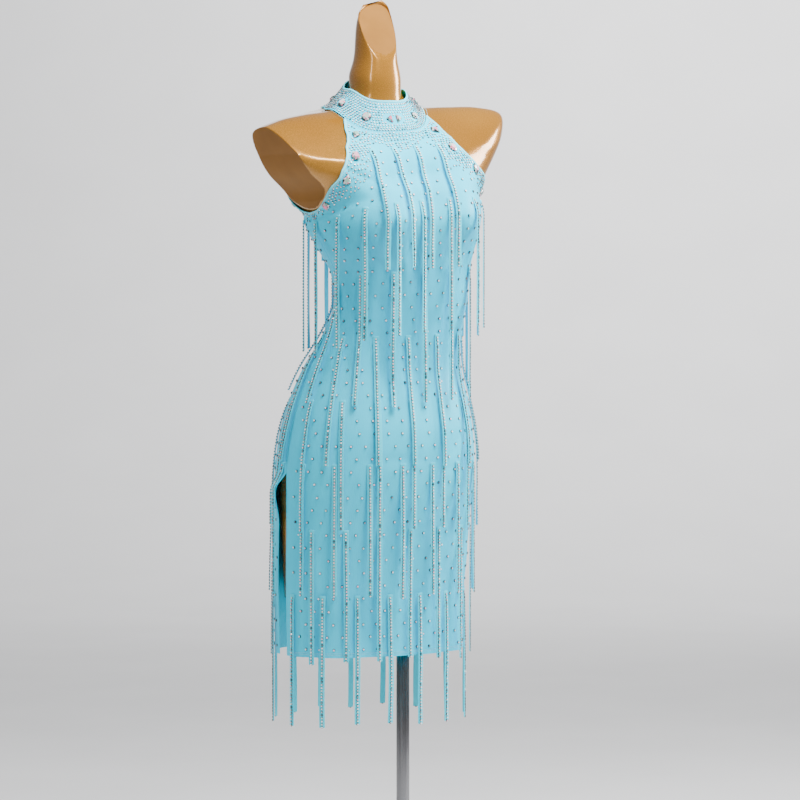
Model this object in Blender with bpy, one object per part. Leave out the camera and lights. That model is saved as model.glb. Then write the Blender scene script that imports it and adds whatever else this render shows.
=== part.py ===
"""Dance dress in stretch satin with ribbon fringe, standing on a limbless dress form.

Metres, +Z up. The front of the dress faces -Y and the wearer's left is +X. The origin is the
centre of the underside of the base, under the pole. Every piece of cloth is worked out from one
table of body sections, so the form, the panels, the fringe and the stones fit each other.
"""

import math
from collections import namedtuple

import bmesh
import bpy
from mathutils import Vector

# Cloth
CLOTH_WALL = 0.0015
FORM_CLEARANCE = 0.0008
SEAM_GAP = 0.0003
SEAM_ANGLE = 0.1            # degrees left free at each side of a seam that runs up the dress
PANEL_STEP = 10.0           # degrees between the columns of a panel
COLLAR_ROWS = 6
SQUARENESS = 0.09           # how far a section is fuller than an ellipse

ARMHOLE_ROUND = 0.6         # power that rounds the foot of the armholes

# The neck's axis, seen from the pole
NECK_X = -0.048
NECK_Y = 0.010

# Bust, on the front of the sections
BUST_SPREAD = 0.075         # from the centre line to each point
BUST_HEIGHT = 1.192
BUST_RISE = 0.024
BUST_WIDTH = 0.036
BUST_ABOVE = 0.055
BUST_BELOW = 0.034

# Flat arm sockets of the form
SOCKET_X = 0.224
SOCKET_TOP = 1.335
SOCKET_SLOPE = 0.58         # how far the face draws in for each metre below its top
SOCKET_LEAN = 0.019         # how far the shoulders sit to the wearer's left
SOCKET_LEAN_FROM = 1.23
SOCKET_LEAN_TO = 1.31
SOCKET_TURN = 0.11          # how far the face draws in for each metre towards the front
SOCKET_TURN_AT = -0.015
SOCKET_SCOOP = 0.009        # hollow of the face just above the armpit
SOCKET_SCOOP_HEIGHT = 1.248
SOCKET_SCOOP_REACH = 0.022

# The neck's slanted cut
NECK_CUT_HEIGHT = 1.458
NECK_CUT_FRONT = -0.036
NECK_CUT_SLOPE = 0.575

# Side slit of the skirt, on the wearer's right
SLIT_TOP = 0.772
SLIT_OPENING = 12.0         # degrees between its edges when it is fully open
SLIT_RAMP = 0.10            # height over which it opens
SLIT_KICK = 0.007           # how far the back edge turns out
SLIT_KICK_HEIGHT = 0.745
SLIT_KICK_REACH = 0.045
SLIT_KICK_SPREAD = 9.0      # degrees over which it fades into the panel
SLIT_KICK_RAMP = 0.02

# Form and stand
FORM_BOTTOM_LEVEL = 1.85
FORM_STEP = 12.0            # degrees between the columns of the form
SOCKET_RADIUS = 0.032
SOCKET_LENGTH = 0.016
POLE_RADIUS = 0.011
FLANGE_RADIUS = 0.045
FLANGE_HEIGHT = 0.012
FLANGE_EDGE = 0.004         # height of its rim
FLANGE_STEP = 0.008         # height at which its cone meets the neck
FLANGE_NECK_FOOT = 0.0176
FLANGE_NECK_TOP = 0.0160
BASE_RADIUS = 0.18
BASE_THICKNESS = 0.008
BASE_BEVEL = 0.002
ROUND_SIDES = 32

# Fringe
RIBBON_WIDTH = 0.010
RIBBON_THICKNESS = 0.001
RIBBON_LENGTH = 0.213
BAND_HEIGHT = 0.004
COLUMN_CLEARANCE = 0.4      # least degrees between two columns of a strip
BAND_GAP = 0.0008
RIBBON_LIFT = 0.0009        # how far a ribbon stands off just below its root
RIBBON_LIFT_LENGTH = 0.02
RIBBON_SLOPE = 0.0190       # how much farther it lies for each metre, to pass over the next tier
PATH_STEP = 0.005

Section = namedtuple(
    "Section",
    "side front back shift seam half_width front_depth back_depth tilt room front_arm back_arm",
)

# One row for each section, from the hem up. side, front and back are the heights of the section
# at the side seam, centre front and centre back. shift and seam place its middle across and
# front to back. tilt is the rise towards the wearer's left. room is how far the form lies in
# from the cloth. front_arm and back_arm are the angles at which the armholes cut the panels.
SECTIONS = (
    Section(0.471, 0.471, 0.471, -0.006, 0.000, 0.165, 0.106, 0.133, 0.000, 0.0220, 90, 90),
    Section(0.520, 0.520, 0.520, -0.006, 0.000, 0.166, 0.106, 0.133, 0.000, 0.0200, 90, 90),
    Section(0.572, 0.572, 0.572, -0.006, 0.000, 0.167, 0.106, 0.133, 0.000, 0.0170, 90, 90),
    Section(0.626, 0.626, 0.626, -0.005, 0.000, 0.168, 0.109, 0.134, 0.000, 0.0130, 90, 90),
    Section(0.680, 0.680, 0.680, -0.003, 0.000, 0.169, 0.114, 0.135, 0.000, 0.0090, 90, 90),
    Section(0.734, 0.734, 0.734, -0.001, 0.000, 0.170, 0.122, 0.137, 0.000, 0.0050, 90, 90),
    Section(0.788, 0.788, 0.788, 0.002, 0.000, 0.170, 0.127, 0.138, 0.000, 0.0010, 90, 90),
    Section(0.840, 0.840, 0.840, 0.004, 0.000, 0.164, 0.127, 0.133, 0.000, 0.0000, 90, 90),
    Section(0.892, 0.892, 0.892, 0.005, -0.005, 0.152, 0.114, 0.120, 0.000, 0.0000, 90, 90),
    Section(0.945, 0.945, 0.945, 0.008, -0.012, 0.136, 0.099, 0.102, 0.005, 0.0000, 90, 90),
    Section(0.998, 0.998, 0.998, 0.018, -0.024, 0.123, 0.087, 0.080, 0.018, 0.0000, 90, 90),
    Section(1.050, 1.050, 1.050, 0.026, -0.036, 0.118, 0.082, 0.069, 0.032, 0.0015, 90, 90),
    Section(1.105, 1.105, 1.105, 0.026, -0.038, 0.122, 0.088, 0.076, 0.048, 0.0030, 90, 90),
    Section(1.145, 1.147, 1.147, 0.023, -0.033, 0.136, 0.102, 0.094, 0.060, 0.0030, 90, 90),
    Section(1.180, 1.190, 1.188, 0.021, -0.022, 0.148, 0.114, 0.105, 0.075, 0.0010, 90, 90),
    Section(1.196, 1.220, 1.212, 0.020, -0.019, 0.151, 0.112, 0.107, 0.078, 0.0012, 90, 90),
    Section(1.210, 1.238, 1.232, 0.019, -0.017, 0.153, 0.109, 0.108, 0.080, 0.0018, 90, 90),
    Section(1.240, 1.260, 1.260, 0.014, -0.015, 0.188, 0.099, 0.107, 0.084, 0.0020, 47, 50),
    Section(1.272, 1.281, 1.290, 0.006, -0.014, 0.215, 0.093, 0.108, 0.088, 0.0014, 32, 33),
    Section(1.310, 1.299, 1.320, 0.001, -0.014, 0.235, 0.084, 0.106, 0.090, 0.0008, 25, 23),
    Section(1.350, 1.314, 1.346, 0.000, -0.013, 0.236, 0.071, 0.101, 0.090, 0.0008, 23, 19),
    Section(1.367, 1.323, 1.364, 0.000, -0.009, 0.190, 0.069, 0.090, 0.080, 0.0008, 27, 19),
    Section(1.373, 1.329, 1.378, 0.000, -0.002, 0.136, 0.074, 0.078, 0.065, 0.0008, 38, 24),
    Section(1.376, 1.334, 1.390, 0.000, 0.006, 0.086, 0.080, 0.061, 0.050, 0.0006, 62, 52),
    Section(1.388, 1.357, 1.406, 0.000, 0.003, 0.068, 0.065, 0.054, 0.030, 0.0030, 90, 90),
    Section(1.405, 1.384, 1.425, 0.000, 0.000, 0.052, 0.050, 0.048, 0.015, 0.0060, 90, 90),
    Section(1.428, 1.422, 1.438, 0.000, 0.000, 0.044, 0.043, 0.043, 0.000, 0.0000, 90, 90),
    Section(1.460, 1.460, 1.460, 0.001, 0.000, 0.0370, 0.0375, 0.0375, 0.000, 0.0000, 90, 90),
    Section(1.508, 1.508, 1.508, 0.002, 0.000, 0.0345, 0.0345, 0.0345, 0.000, 0.0000, 90, 90),
    Section(1.535, 1.535, 1.535, 0.004, 0.002, 0.030, 0.030, 0.030, 0.180, 0.0000, 90, 90),
    Section(1.549, 1.549, 1.549, 0.006, 0.004, 0.018, 0.016, 0.018, 0.250, 0.0000, 90, 90),
)
UNDERBUST_LEVEL = 13
BUST_LEVEL = 14
ARMPIT_LEVEL = 16
COLLAR_BASE_LEVEL = 23
COLLAR_TOP_LEVEL = 25
TOP_LEVEL = len(SECTIONS) - 1
SEAM_LEVEL = 0.02           # share of a level left free at each side of the collar seam

Fold = namedtuple("Fold", "angle low high half_width depth")

# The largest folds, all troughs: the skirt hangs free of the form, and below the bust and in
# the small of the back the cloth spans a little way off it.
FOLDS = (
    Fold(-20.0, 0.38, 0.66, 8.0, 0.0070),
    Fold(8.0, 0.38, 0.70, 7.0, 0.0055),
    Fold(30.0, 0.38, 0.64, 8.0, 0.0070),
    Fold(-60.0, 0.38, 0.60, 9.0, 0.0050),
    Fold(62.0, 0.38, 0.62, 9.0, 0.0055),
    Fold(118.0, 0.38, 0.66, 9.0, 0.0060),
    Fold(150.0, 0.38, 0.70, 8.0, 0.0070),
    Fold(178.0, 0.38, 0.64, 8.0, 0.0050),
    Fold(210.0, 0.38, 0.68, 9.0, 0.0065),
    Fold(-30.0, 1.080, 1.180, 8.0, 0.0028),
    Fold(-8.0, 1.070, 1.180, 7.0, 0.0030),
    Fold(18.0, 1.080, 1.180, 7.0, 0.0026),
    Fold(40.0, 1.070, 1.180, 8.0, 0.0028),
    Fold(150.0, 1.040, 1.150, 9.0, 0.0026),
    Fold(182.0, 1.040, 1.150, 8.0, 0.0026),
    Fold(212.0, 1.040, 1.150, 9.0, 0.0026),
)

Tier = namedtuple("Tier", "name level pitch start first last segments lift")

# Fringe tiers: the section that carries the roots, the distance between roots and one root's
# angle, where the tier begins and ends round the body (closed where both are the same), the
# pieces in a ribbon's path, and how much farther off the cloth its ribbons lie, to clear the
# tier below.
TIERS = (
    Tier("fringe_1", 2.0, 0.057, -8.0, -86.5, 258.0, 4, 0.0),
    Tier("fringe_2", 4.0, 0.057, -16.0, -86.5, 259.0, 4, 0.0),
    Tier("fringe_3", 6.0, 0.057, -7.0, 0.0, 0.0, 4, 0.0),
    Tier("fringe_4", 8.0, 0.057, -23.0, 0.0, 0.0, 4, 0.0),
    Tier("fringe_5", 10.0, 0.057, -34.0, 0.0, 0.0, 5, 0.0012),
    Tier("fringe_6", 12.0, 0.057, -2.0, 0.0, 0.0, 4, 0.0020),
    Tier("fringe_7", 15.0, 0.052, -4.0, 0.0, 0.0, 8, 0.0010),
    Tier("fringe_8_front", 19.5, 0.042, -3.8, -18.0, 20.5, 8, 0.0030),
    Tier("fringe_8_back", 19.5, 0.042, 180.0, 165.0, 195.0, 6, 0.0030),
)

Stone = namedtuple("Stone", "name level angle length width sides turn")

STONE_HEIGHT = 0.0035
STONE_TABLE = 0.6           # flat top over girdle
ARMHOLE_STONE_INSET = 0.014
STONE_GAP = 0.0004
FRONT_ARMHOLE_HEIGHTS = (1.221, 1.262, 1.300, 1.332)
BACK_ARMHOLE_HEIGHTS = (1.225, 1.275, 1.322)
COLLAR_STONE_LEVEL = 23.9
COLLAR_STONE_ANGLES = (-78.0, -38.0, 38.0, 78.0, 122.0, 238.0)
COLLAR_STONE_SIZE = (0.018, 0.0155)
FRONT_PAIR_ANGLE = 6.4
FRONT_PAIR_SIZE = (0.0125, 0.016)
ARMHOLE_STONE_SIZE = (0.0180, 0.0150)
ARMHOLE_STONE_TURN = 20

# Colours, linear
SATIN = (0.19, 0.60, 0.72, 1.0)
GOLD_PAINT = (0.42, 0.24, 0.07, 1.0)
STEEL = (0.13, 0.13, 0.14, 1.0)
BASE_STEEL = (0.30, 0.30, 0.32, 1.0)
CRYSTAL = (0.75, 0.70, 0.78, 1.0)


def make_material(name, colour, roughness, metallic):
    material = bpy.data.materials.new(name)
    material.use_nodes = True
    shader = material.node_tree.nodes["Principled BSDF"]
    shader.inputs["Base Color"].default_value = colour
    shader.inputs["Roughness"].default_value = roughness
    shader.inputs["Metallic"].default_value = metallic
    return material


def add_object(name, mesh_builder, material, smooth_angle=40.0):
    """Turns a bmesh into a named object with smooth round surfaces."""
    bmesh.ops.triangulate(mesh_builder, faces=mesh_builder.faces)
    mesh = bpy.data.meshes.new(name)
    mesh_builder.to_mesh(mesh)
    mesh_builder.free()
    mesh.shade_smooth()
    mesh.set_sharp_from_angle(angle=math.radians(smooth_angle))
    mesh.materials.append(material)
    made = bpy.data.objects.new(name, mesh)
    bpy.context.scene.collection.objects.link(made)
    return made


def section_at(level):
    """The section at any level, smooth through the rows."""
    row = min(max(int(level), 0), TOP_LEVEL - 1)
    t = level - row
    rows = [SECTIONS[min(max(row + step, 0), TOP_LEVEL)] for step in (-1, 0, 1, 2)]
    values = []
    for before, start, end, after in zip(*rows):
        bend = 2 * before - 5 * start + 4 * end - after
        twist = 3 * start - before - 3 * end + after
        values.append(0.5 * (2 * start + (end - before) * t + bend * t * t + twist * t ** 3))
    return Section(*values)


def bust_rise(x, z):
    """How far the bust lifts the front at a point, measured from the section's middle."""
    below = z < BUST_HEIGHT
    tall = BUST_BELOW if below else BUST_ABOVE
    rise = 0.0
    for side in (-1, 1):
        across = (x - side * BUST_SPREAD) / BUST_WIDTH
        up = (z - BUST_HEIGHT) / tall
        rise += BUST_RISE * math.exp(-0.5 * (across ** 2 + up ** 2))
    return rise


def skin(level, angle):
    """Point on the body at a level, angle degrees from the centre front to the wearer's left."""
    section = section_at(level)
    turn = math.radians(angle)
    sine = math.sin(turn)
    cosine = math.cos(turn)
    depth = section.front_depth if cosine > 0 else section.back_depth
    crown = section.front if cosine > 0 else section.back
    climb = sine ** 4 if cosine > 0 else sine ** 2
    x = section.half_width * sine * (1 + SQUARENESS * cosine ** 2)
    y = -depth * cosine * (1 + SQUARENESS * sine ** 2)
    z = crown + (section.side - crown) * climb
    if cosine > 0:
        y -= bust_rise(x, z) * min(1.0, 3 * cosine)
    if ARMPIT_LEVEL < level < COLLAR_BASE_LEVEL:
        scoop = SOCKET_SCOOP * math.exp(-((z - SOCKET_SCOOP_HEIGHT) / SOCKET_SCOOP_REACH) ** 2)
        limit = SOCKET_X - SOCKET_SLOPE * (SOCKET_TOP - z) + SOCKET_TURN * (y - SOCKET_TURN_AT) - scoop
        share = (z - SOCKET_LEAN_FROM) / (SOCKET_LEAN_TO - SOCKET_LEAN_FROM)
        lean = SOCKET_LEAN * min(1.0, max(0.0, share))
        x = min(max(x, lean - limit), lean + limit)
    if z > NECK_CUT_HEIGHT:
        y = max(y, NECK_CUT_FRONT + NECK_CUT_SLOPE * (z - NECK_CUT_HEIGHT))
    return Vector((NECK_X + section.shift + x, NECK_Y + section.seam + y, z + section.tilt * x))


def skin_normal(level, angle):
    step = 0.05
    low = max(level - step, 0.0)
    high = min(level + step, TOP_LEVEL)
    along = skin(level, angle + 1.0) - skin(level, angle - 1.0)
    upward = skin(high, angle) - skin(low, angle)
    return along.cross(upward).normalized()


def angle_between(angle, middle):
    """Distance between two angles, the short way round."""
    return abs((angle - middle + 180.0) % 360.0 - 180.0)


def fold_depth(angle, z):
    """Sum of the folds at a point of the cloth, inward positive."""
    depth = 0.0
    for fold in FOLDS:
        if fold.low < z < fold.high:
            across = angle_between(angle, fold.angle) / fold.half_width
            along = math.sin(math.pi * (z - fold.low) / (fold.high - fold.low))
            depth += fold.depth * math.exp(-across ** 2) * along
    return depth


def slit_edges(z):
    """Angles of the front and back edges of the slit at a height."""
    opening = SLIT_OPENING * min(1.0, max(0.0, (SLIT_TOP - z) / SLIT_RAMP)) ** 0.7
    return -90.0 + 0.2 * opening, 270.0 - 0.8 * opening


def slit_kick(angle, z):
    """How far the back edge of the slit turns out from the body."""
    if z > SLIT_TOP:
        return 0.0
    along = (z - SLIT_KICK_HEIGHT) / SLIT_KICK_REACH
    across = angle_between(angle, slit_edges(z)[1]) / SLIT_KICK_SPREAD
    top = min(1.0, (SLIT_TOP - z) / SLIT_KICK_RAMP)
    return SLIT_KICK * top * math.exp(-along ** 2 - across ** 2)


def smooth_cloth(level, angle, out):
    """Point of the cloth without its folds, out metres off its inner face."""
    base = skin(level, angle)
    lift = out - CLOTH_WALL
    if angle > 180.0:
        lift += slit_kick(angle, base.z)
    return base + skin_normal(level, angle) * lift


def cloth_point(level, angle, out):
    """Point of the cloth, out metres off its inner face."""
    return smooth_cloth(level, angle, out - fold_depth(angle, skin(level, angle).z))


def armhole_angle(level, column):
    """Half the width of a panel in degrees, where the armhole cuts it."""
    if level <= ARMPIT_LEVEL:
        return 90.0
    first = getattr(SECTIONS[ARMPIT_LEVEL + 1], column)
    if level < ARMPIT_LEVEL + 1:
        return 90.0 - (90.0 - first) * (level - ARMPIT_LEVEL) ** ARMHOLE_ROUND
    return getattr(section_at(level), column)


def panel_levels():
    """Levels of a panel's rows: each section, and half way where the shape turns faster."""
    levels = [float(level) for level in range(COLLAR_BASE_LEVEL)]
    levels.append(UNDERBUST_LEVEL + 0.5)
    levels.append(ARMPIT_LEVEL + 0.12)
    levels += [level + 0.5 for level in range(ARMPIT_LEVEL, COLLAR_BASE_LEVEL)]
    levels.append(COLLAR_BASE_LEVEL - SEAM_LEVEL)
    return sorted(levels)


def add_wall(builder, outer_rows, inner_rows, closed=False):
    """A wall between two grids of points, with its four edges (or two where it is closed)."""
    outer = [[builder.verts.new(point) for point in row] for row in outer_rows]
    inner = [[builder.verts.new(point) for point in row] for row in inner_rows]
    columns = len(outer[0])
    last = columns if closed else columns - 1
    for low, high, low_in, high_in in zip(outer, outer[1:], inner, inner[1:]):
        for start in range(last):
            end = (start + 1) % columns
            builder.faces.new((low[start], low[end], high[end]))
            builder.faces.new((low[start], high[end], high[start]))
            builder.faces.new((low_in[end], low_in[start], high_in[end]))
            builder.faces.new((low_in[start], high_in[start], high_in[end]))
    for start in range(last):
        end = (start + 1) % columns
        builder.faces.new((outer[0][end], outer[0][start], inner[0][start], inner[0][end]))
        builder.faces.new((outer[-1][start], outer[-1][end], inner[-1][end], inner[-1][start]))
    if not closed:
        for side, other in ((0, 1), (columns - 1, -1)):
            for row in range(len(outer) - 1):
                corners = [outer[row][side], outer[row + 1][side]]
                corners += [inner[row + 1][side], inner[row][side]]
                builder.faces.new(corners if other == 1 else corners[::-1])


def column_angles(edges, level):
    """Angles of a panel's columns at a level."""
    bottom_start, bottom_end = edges(BUST_LEVEL)
    count = round((bottom_end - bottom_start) / PANEL_STEP)
    start, end = edges(level)
    return [start + (end - start) * step / count for step in range(count + 1)]


def build_panel(name, edges, material):
    """A panel from the hem to the collar seam. edges gives its two edge angles at a level."""
    outer_rows = []
    inner_rows = []
    for level in panel_levels():
        angles = column_angles(edges, level)
        outer_rows.append([cloth_point(level, angle, CLOTH_WALL) for angle in angles])
        inner_rows.append([cloth_point(level, angle, 0.0) for angle in angles])
    builder = bmesh.new()
    add_wall(builder, outer_rows, inner_rows)
    return add_object(name, builder, material)


def front_edges(level):
    half = armhole_angle(level, "front_arm") - SEAM_ANGLE
    right = -half
    if level < ARMPIT_LEVEL:
        right = slit_edges(skin(level, -90.0).z)[0] + SEAM_ANGLE
    return right, half


def back_left_edges(level):
    return 180.0 - armhole_angle(level, "back_arm") + SEAM_ANGLE, 180.0 - SEAM_ANGLE


def back_right_edges(level):
    end = 180.0 + armhole_angle(level, "back_arm") - SEAM_ANGLE
    if level < ARMPIT_LEVEL:
        end = slit_edges(skin(level, -90.0).z)[1] - SEAM_ANGLE
    return 180.0 + SEAM_ANGLE, end


def build_collar(material):
    """Stand collar, a flared band whose ends meet at the centre back."""
    first = COLLAR_BASE_LEVEL + SEAM_LEVEL
    rise = COLLAR_TOP_LEVEL - first
    levels = [first + rise * step / COLLAR_ROWS for step in range(COLLAR_ROWS + 1)]
    count = round(360.0 / PANEL_STEP)
    start = -180.0 + SEAM_ANGLE * 2
    end = 180.0 - SEAM_ANGLE * 2
    angles = [start + (end - start) * step / count for step in range(count + 1)]
    outer = [[cloth_point(level, angle, CLOTH_WALL) for angle in angles] for level in levels]
    inner = [[cloth_point(level, angle, 0.0) for angle in angles] for level in levels]
    builder = bmesh.new()
    add_wall(builder, outer, inner)
    return add_object("collar", builder, material)


def form_levels():
    """The panels' levels above the form's foot, then half levels up the neck."""
    levels = [FORM_BOTTOM_LEVEL]
    levels += [level for level in panel_levels() if level > FORM_BOTTOM_LEVEL]
    levels[-1] = float(COLLAR_BASE_LEVEL)
    steps = 2 * (TOP_LEVEL - COLLAR_BASE_LEVEL)
    return levels + [COLLAR_BASE_LEVEL + 0.5 * step for step in range(1, steps + 1)]


def build_form(material):
    """Torso, neck and shoulder stubs as one closed shell of rings."""
    count = round(360.0 / FORM_STEP)
    angles = [step * FORM_STEP for step in range(count)]
    rings = []
    for level in form_levels():
        inset = CLOTH_WALL + FORM_CLEARANCE + section_at(level).room
        ring = [skin(level, angle) - skin_normal(level, angle) * inset for angle in angles]
        rings.append(ring)
    bottom = sum((point.z for point in rings[0]), 0.0) / count
    for point in rings[0]:
        point.z = bottom
    builder = bmesh.new()
    made = [[builder.verts.new(point) for point in ring] for ring in rings]
    for low, high in zip(made, made[1:]):
        for start in range(count):
            end = (start + 1) % count
            builder.faces.new((low[start], low[end], high[end]))
            builder.faces.new((low[start], high[end], high[start]))
    builder.faces.new(made[0][::-1])
    builder.faces.new(made[-1])
    add_object("dress_form", builder, material)
    return bottom


def build_round(name, profile, material):
    """A turned piece round the pole. profile has (radius, height) from the underside up."""
    builder = bmesh.new()
    rings = []
    for radius, height in profile:
        ring = []
        for step in range(ROUND_SIDES):
            turn = 2 * math.pi * step / ROUND_SIDES
            point = (radius * math.cos(turn), radius * math.sin(turn), height)
            ring.append(builder.verts.new(point))
        rings.append(ring)
    for low, high in zip(rings, rings[1:]):
        for start in range(ROUND_SIDES):
            end = (start + 1) % ROUND_SIDES
            builder.faces.new((low[start], low[end], high[end], high[start]))
    builder.faces.new(rings[0][::-1])
    builder.faces.new(rings[-1])
    return add_object(name, builder, material, 30.0)


def build_stand(form_bottom, steel, base_steel):
    """Base plate, flange, pole and the socket under the form, each seated on the next."""
    base_profile = (
        (BASE_RADIUS, 0.0),
        (BASE_RADIUS, BASE_THICKNESS - BASE_BEVEL),
        (BASE_RADIUS - BASE_BEVEL, BASE_THICKNESS),
    )
    build_round("base_plate", base_profile, base_steel)
    flange_bottom = BASE_THICKNESS + SEAM_GAP
    flange_top = flange_bottom + FLANGE_HEIGHT
    flange_profile = (
        (FLANGE_RADIUS, flange_bottom),
        (FLANGE_RADIUS, flange_bottom + FLANGE_EDGE),
        (FLANGE_NECK_FOOT, flange_bottom + FLANGE_STEP),
        (FLANGE_NECK_TOP, flange_top),
    )
    build_round("pole_flange", flange_profile, steel)
    socket_top = form_bottom - SEAM_GAP
    socket_bottom = socket_top - SOCKET_LENGTH
    build_round("form_socket", ((SOCKET_RADIUS, socket_bottom), (SOCKET_RADIUS, socket_top)), steel)
    pole_ends = (flange_top + SEAM_GAP, socket_bottom - SEAM_GAP)
    build_round("pole", [(POLE_RADIUS, height) for height in pole_ends], steel)


class Slices:
    """Horizontal slices of the cloth's outer face, for hanging ribbons on it."""

    step = 6

    def __init__(self):
        self.columns = []
        levels = panel_levels()
        for angle in range(0, 360, self.step):
            column = [smooth_cloth(level, float(angle), CLOTH_WALL) for level in levels]
            self.columns.append(column)
        self.kept = {}

    def at(self, z):
        """The slice at a height as a closed list of (x, y), or None below the hem."""
        key = round(z, 4)
        if key not in self.kept:
            ring = []
            for column in self.columns:
                for low, high in zip(column, column[1:]):
                    if low.z <= z < high.z:
                        share = (z - low.z) / (high.z - low.z)
                        ring.append(low.lerp(high, share))
                        break
            self.kept[key] = ring if len(ring) == len(self.columns) else None
        return self.kept[key]

    def reach(self, point, outward):
        """How far the cloth lies from a point along a level direction, and which way it runs."""
        ring = self.at(point.z)
        if ring is None:
            return None, None
        best = None
        run = None
        for start, end in zip(ring, ring[1:] + ring[:1]):
            edge = end - start
            cross = outward.x * edge.y - outward.y * edge.x
            if abs(cross) < 1e-9:
                continue
            gap = start - point
            along = (gap.x * edge.y - gap.y * edge.x) / cross
            share = (gap.x * outward.y - gap.y * outward.x) / cross
            if -0.001 <= share <= 1.001 and (best is None or along > best):
                best = along
                run = edge
        return best, run


def panel_columns(level):
    """All the panels' column angles at a level, in order from the right side seam round."""
    angles = column_angles(front_edges, level)
    angles += column_angles(back_left_edges, level)
    angles += column_angles(back_right_edges, level)
    return angles


def tier_point(tier, angle, lift, out):
    """Point lift metres above a tier's root line and out metres off the cloth's flat facets."""
    columns = panel_columns(tier.level)
    turned = (angle - columns[0]) % 360.0 + columns[0]
    start = max((column for column in columns if column <= turned), default=columns[0])
    later = [column for column in columns if column > turned]
    end = min(later) if later else columns[0] + 360.0
    share = (turned - start) / (end - start)
    low = smooth_cloth(tier.level, start, CLOTH_WALL + out)
    high = smooth_cloth(tier.level, end, CLOTH_WALL + out)
    above = min(level for level in panel_levels() if level > tier.level)
    upward = skin(above, angle) - skin(tier.level, angle)
    return low.lerp(high, share) + upward.normalized() * lift


def root_angles(tier):
    """Angles of the roots, one ribbon pitch apart along the cloth."""
    closed = tier.first == tier.last
    first = tier.start if closed else tier.first
    last = first + 360.0 if closed else tier.last
    steps = round(last - first)
    line = [tier_point(tier, first + step, 0.0, 0.0) for step in range(steps + 1)]
    lengths = [0.0]
    for start, end in zip(line, line[1:]):
        lengths.append(lengths[-1] + (end - start).length)
    total = lengths[-1]
    if closed:
        count = round(total / tier.pitch)
        wanted = [total * step / count for step in range(count)]
    else:
        middle = lengths[min(max(round(tier.start - first), 0), steps)]
        margin = RIBBON_WIDTH
        offset = (middle - margin) % tier.pitch
        count = int((total - 2 * margin - offset) / tier.pitch) + 1
        wanted = [margin + offset + tier.pitch * step for step in range(count)]
    angles = []
    index = 0
    for distance in wanted:
        while lengths[index + 1] < distance:
            index += 1
        share = (distance - lengths[index]) / (lengths[index + 1] - lengths[index])
        angles.append(first + index + share)
    return angles


def ribbon_layer(distance):
    """Gap between a ribbon's inner face and the cloth, by the distance below its root."""
    lift = RIBBON_LIFT * min(1.0, distance / RIBBON_LIFT_LENGTH)
    return BAND_GAP + lift + RIBBON_SLOPE * distance


def ribbon_path(slices, root, across, lift):
    """Middle and width direction of a ribbon from its root down.

    It lies on the cloth where that stands out, and hangs plumb where it recedes.
    """
    outward = Vector((across.y, -across.x, 0.0))
    path = [(root.copy(), across)]
    reach = 0.0
    length = 0.0
    while length < RIBBON_LENGTH:
        last, across = path[-1]
        below = Vector((root.x, root.y, last.z - PATH_STEP))
        surface, run = slices.reach(below, outward)
        extra = lift * min(1.0, length / RIBBON_LIFT_LENGTH)
        if surface is not None and surface + ribbon_layer(length) + extra > reach:
            reach = surface + ribbon_layer(length) + extra
            across = Vector((run.x, run.y, 0.0)).normalized()
        point = below + outward * reach
        length += (point - last).length
        path.append((point, across))
    return path


def tier_columns(tier):
    """A tier's angles in order, and where in that list each ribbon's left edge stands."""
    closed = tier.first == tier.last
    roots = root_angles(tier)
    starts = []
    marks = []
    for angle in roots:
        one_degree = tier_point(tier, angle + 1.0, 0.0, 0.0) - tier_point(tier, angle, 0.0, 0.0)
        half = 0.5 * RIBBON_WIDTH / one_degree.length
        starts.append(angle - half)
        marks += [angle - half, angle + half]
    first = starts[0] if closed else tier.first
    last = first + 360.0 if closed else tier.last
    for column in panel_columns(tier.level):
        turned = (column - first) % 360.0 + first
        clear = all(abs(turned - mark) > COLUMN_CLEARANCE for mark in marks + [last])
        inside = any(start < turned < end for start, end in zip(marks[::2], marks[1::2]))
        if clear and not inside and first < turned < last:
            marks.append(turned)
    if not closed:
        marks += [first, last]
    marks.sort()
    return marks, {marks.index(start) for start in starts}, closed


def build_tier(tier, slices, material):
    """A narrow wedge of a strip round the body, its ribbons hanging from its lower edge."""
    angles, ribbons, closed = tier_columns(tier)
    builder = bmesh.new()
    outside = BAND_GAP + RIBBON_THICKNESS
    outer = [builder.verts.new(tier_point(tier, angle, 0.0, outside)) for angle in angles]
    inner = [builder.verts.new(tier_point(tier, angle, 0.0, BAND_GAP)) for angle in angles]
    top = [builder.verts.new(tier_point(tier, angle, BAND_HEIGHT, BAND_GAP)) for angle in angles]
    count = len(angles)
    for start in range(count if closed else count - 1):
        end = (start + 1) % count
        builder.faces.new((outer[start], outer[end], top[end], top[start]))
        builder.faces.new((inner[end], inner[start], top[start], top[end]))
        if start in ribbons:
            loop = [inner[start], outer[start], outer[end], inner[end]]
            add_ribbon(builder, loop, slices, tier)
        else:
            builder.faces.new((outer[end], outer[start], inner[start], inner[end]))
    if not closed:
        builder.faces.new((outer[0], top[0], inner[0]))
        builder.faces.new((inner[-1], top[-1], outer[-1]))
    return add_object(tier.name, builder, material)


def add_ribbon(builder, loop, slices, tier):
    """Grows a flat ribbon down from a four-cornered root."""
    root = (loop[0].co + loop[3].co) / 2
    across = loop[3].co - loop[0].co
    across.z = 0.0
    path = ribbon_path(slices, root, across.normalized(), tier.lift)
    for segment in range(1, tier.segments + 1):
        middle, across = path[round((len(path) - 1) * segment / tier.segments)]
        half = across * (RIBBON_WIDTH / 2)
        thick = Vector((across.y, -across.x, 0.0)) * RIBBON_THICKNESS
        places = (middle - half, middle - half + thick, middle + half + thick, middle + half)
        following = [builder.verts.new(place) for place in places]
        for start in range(4):
            end = (start + 1) % 4
            builder.faces.new((loop[end], loop[start], following[start], following[end]))
        loop = following
    builder.faces.new(loop[::-1])


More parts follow.
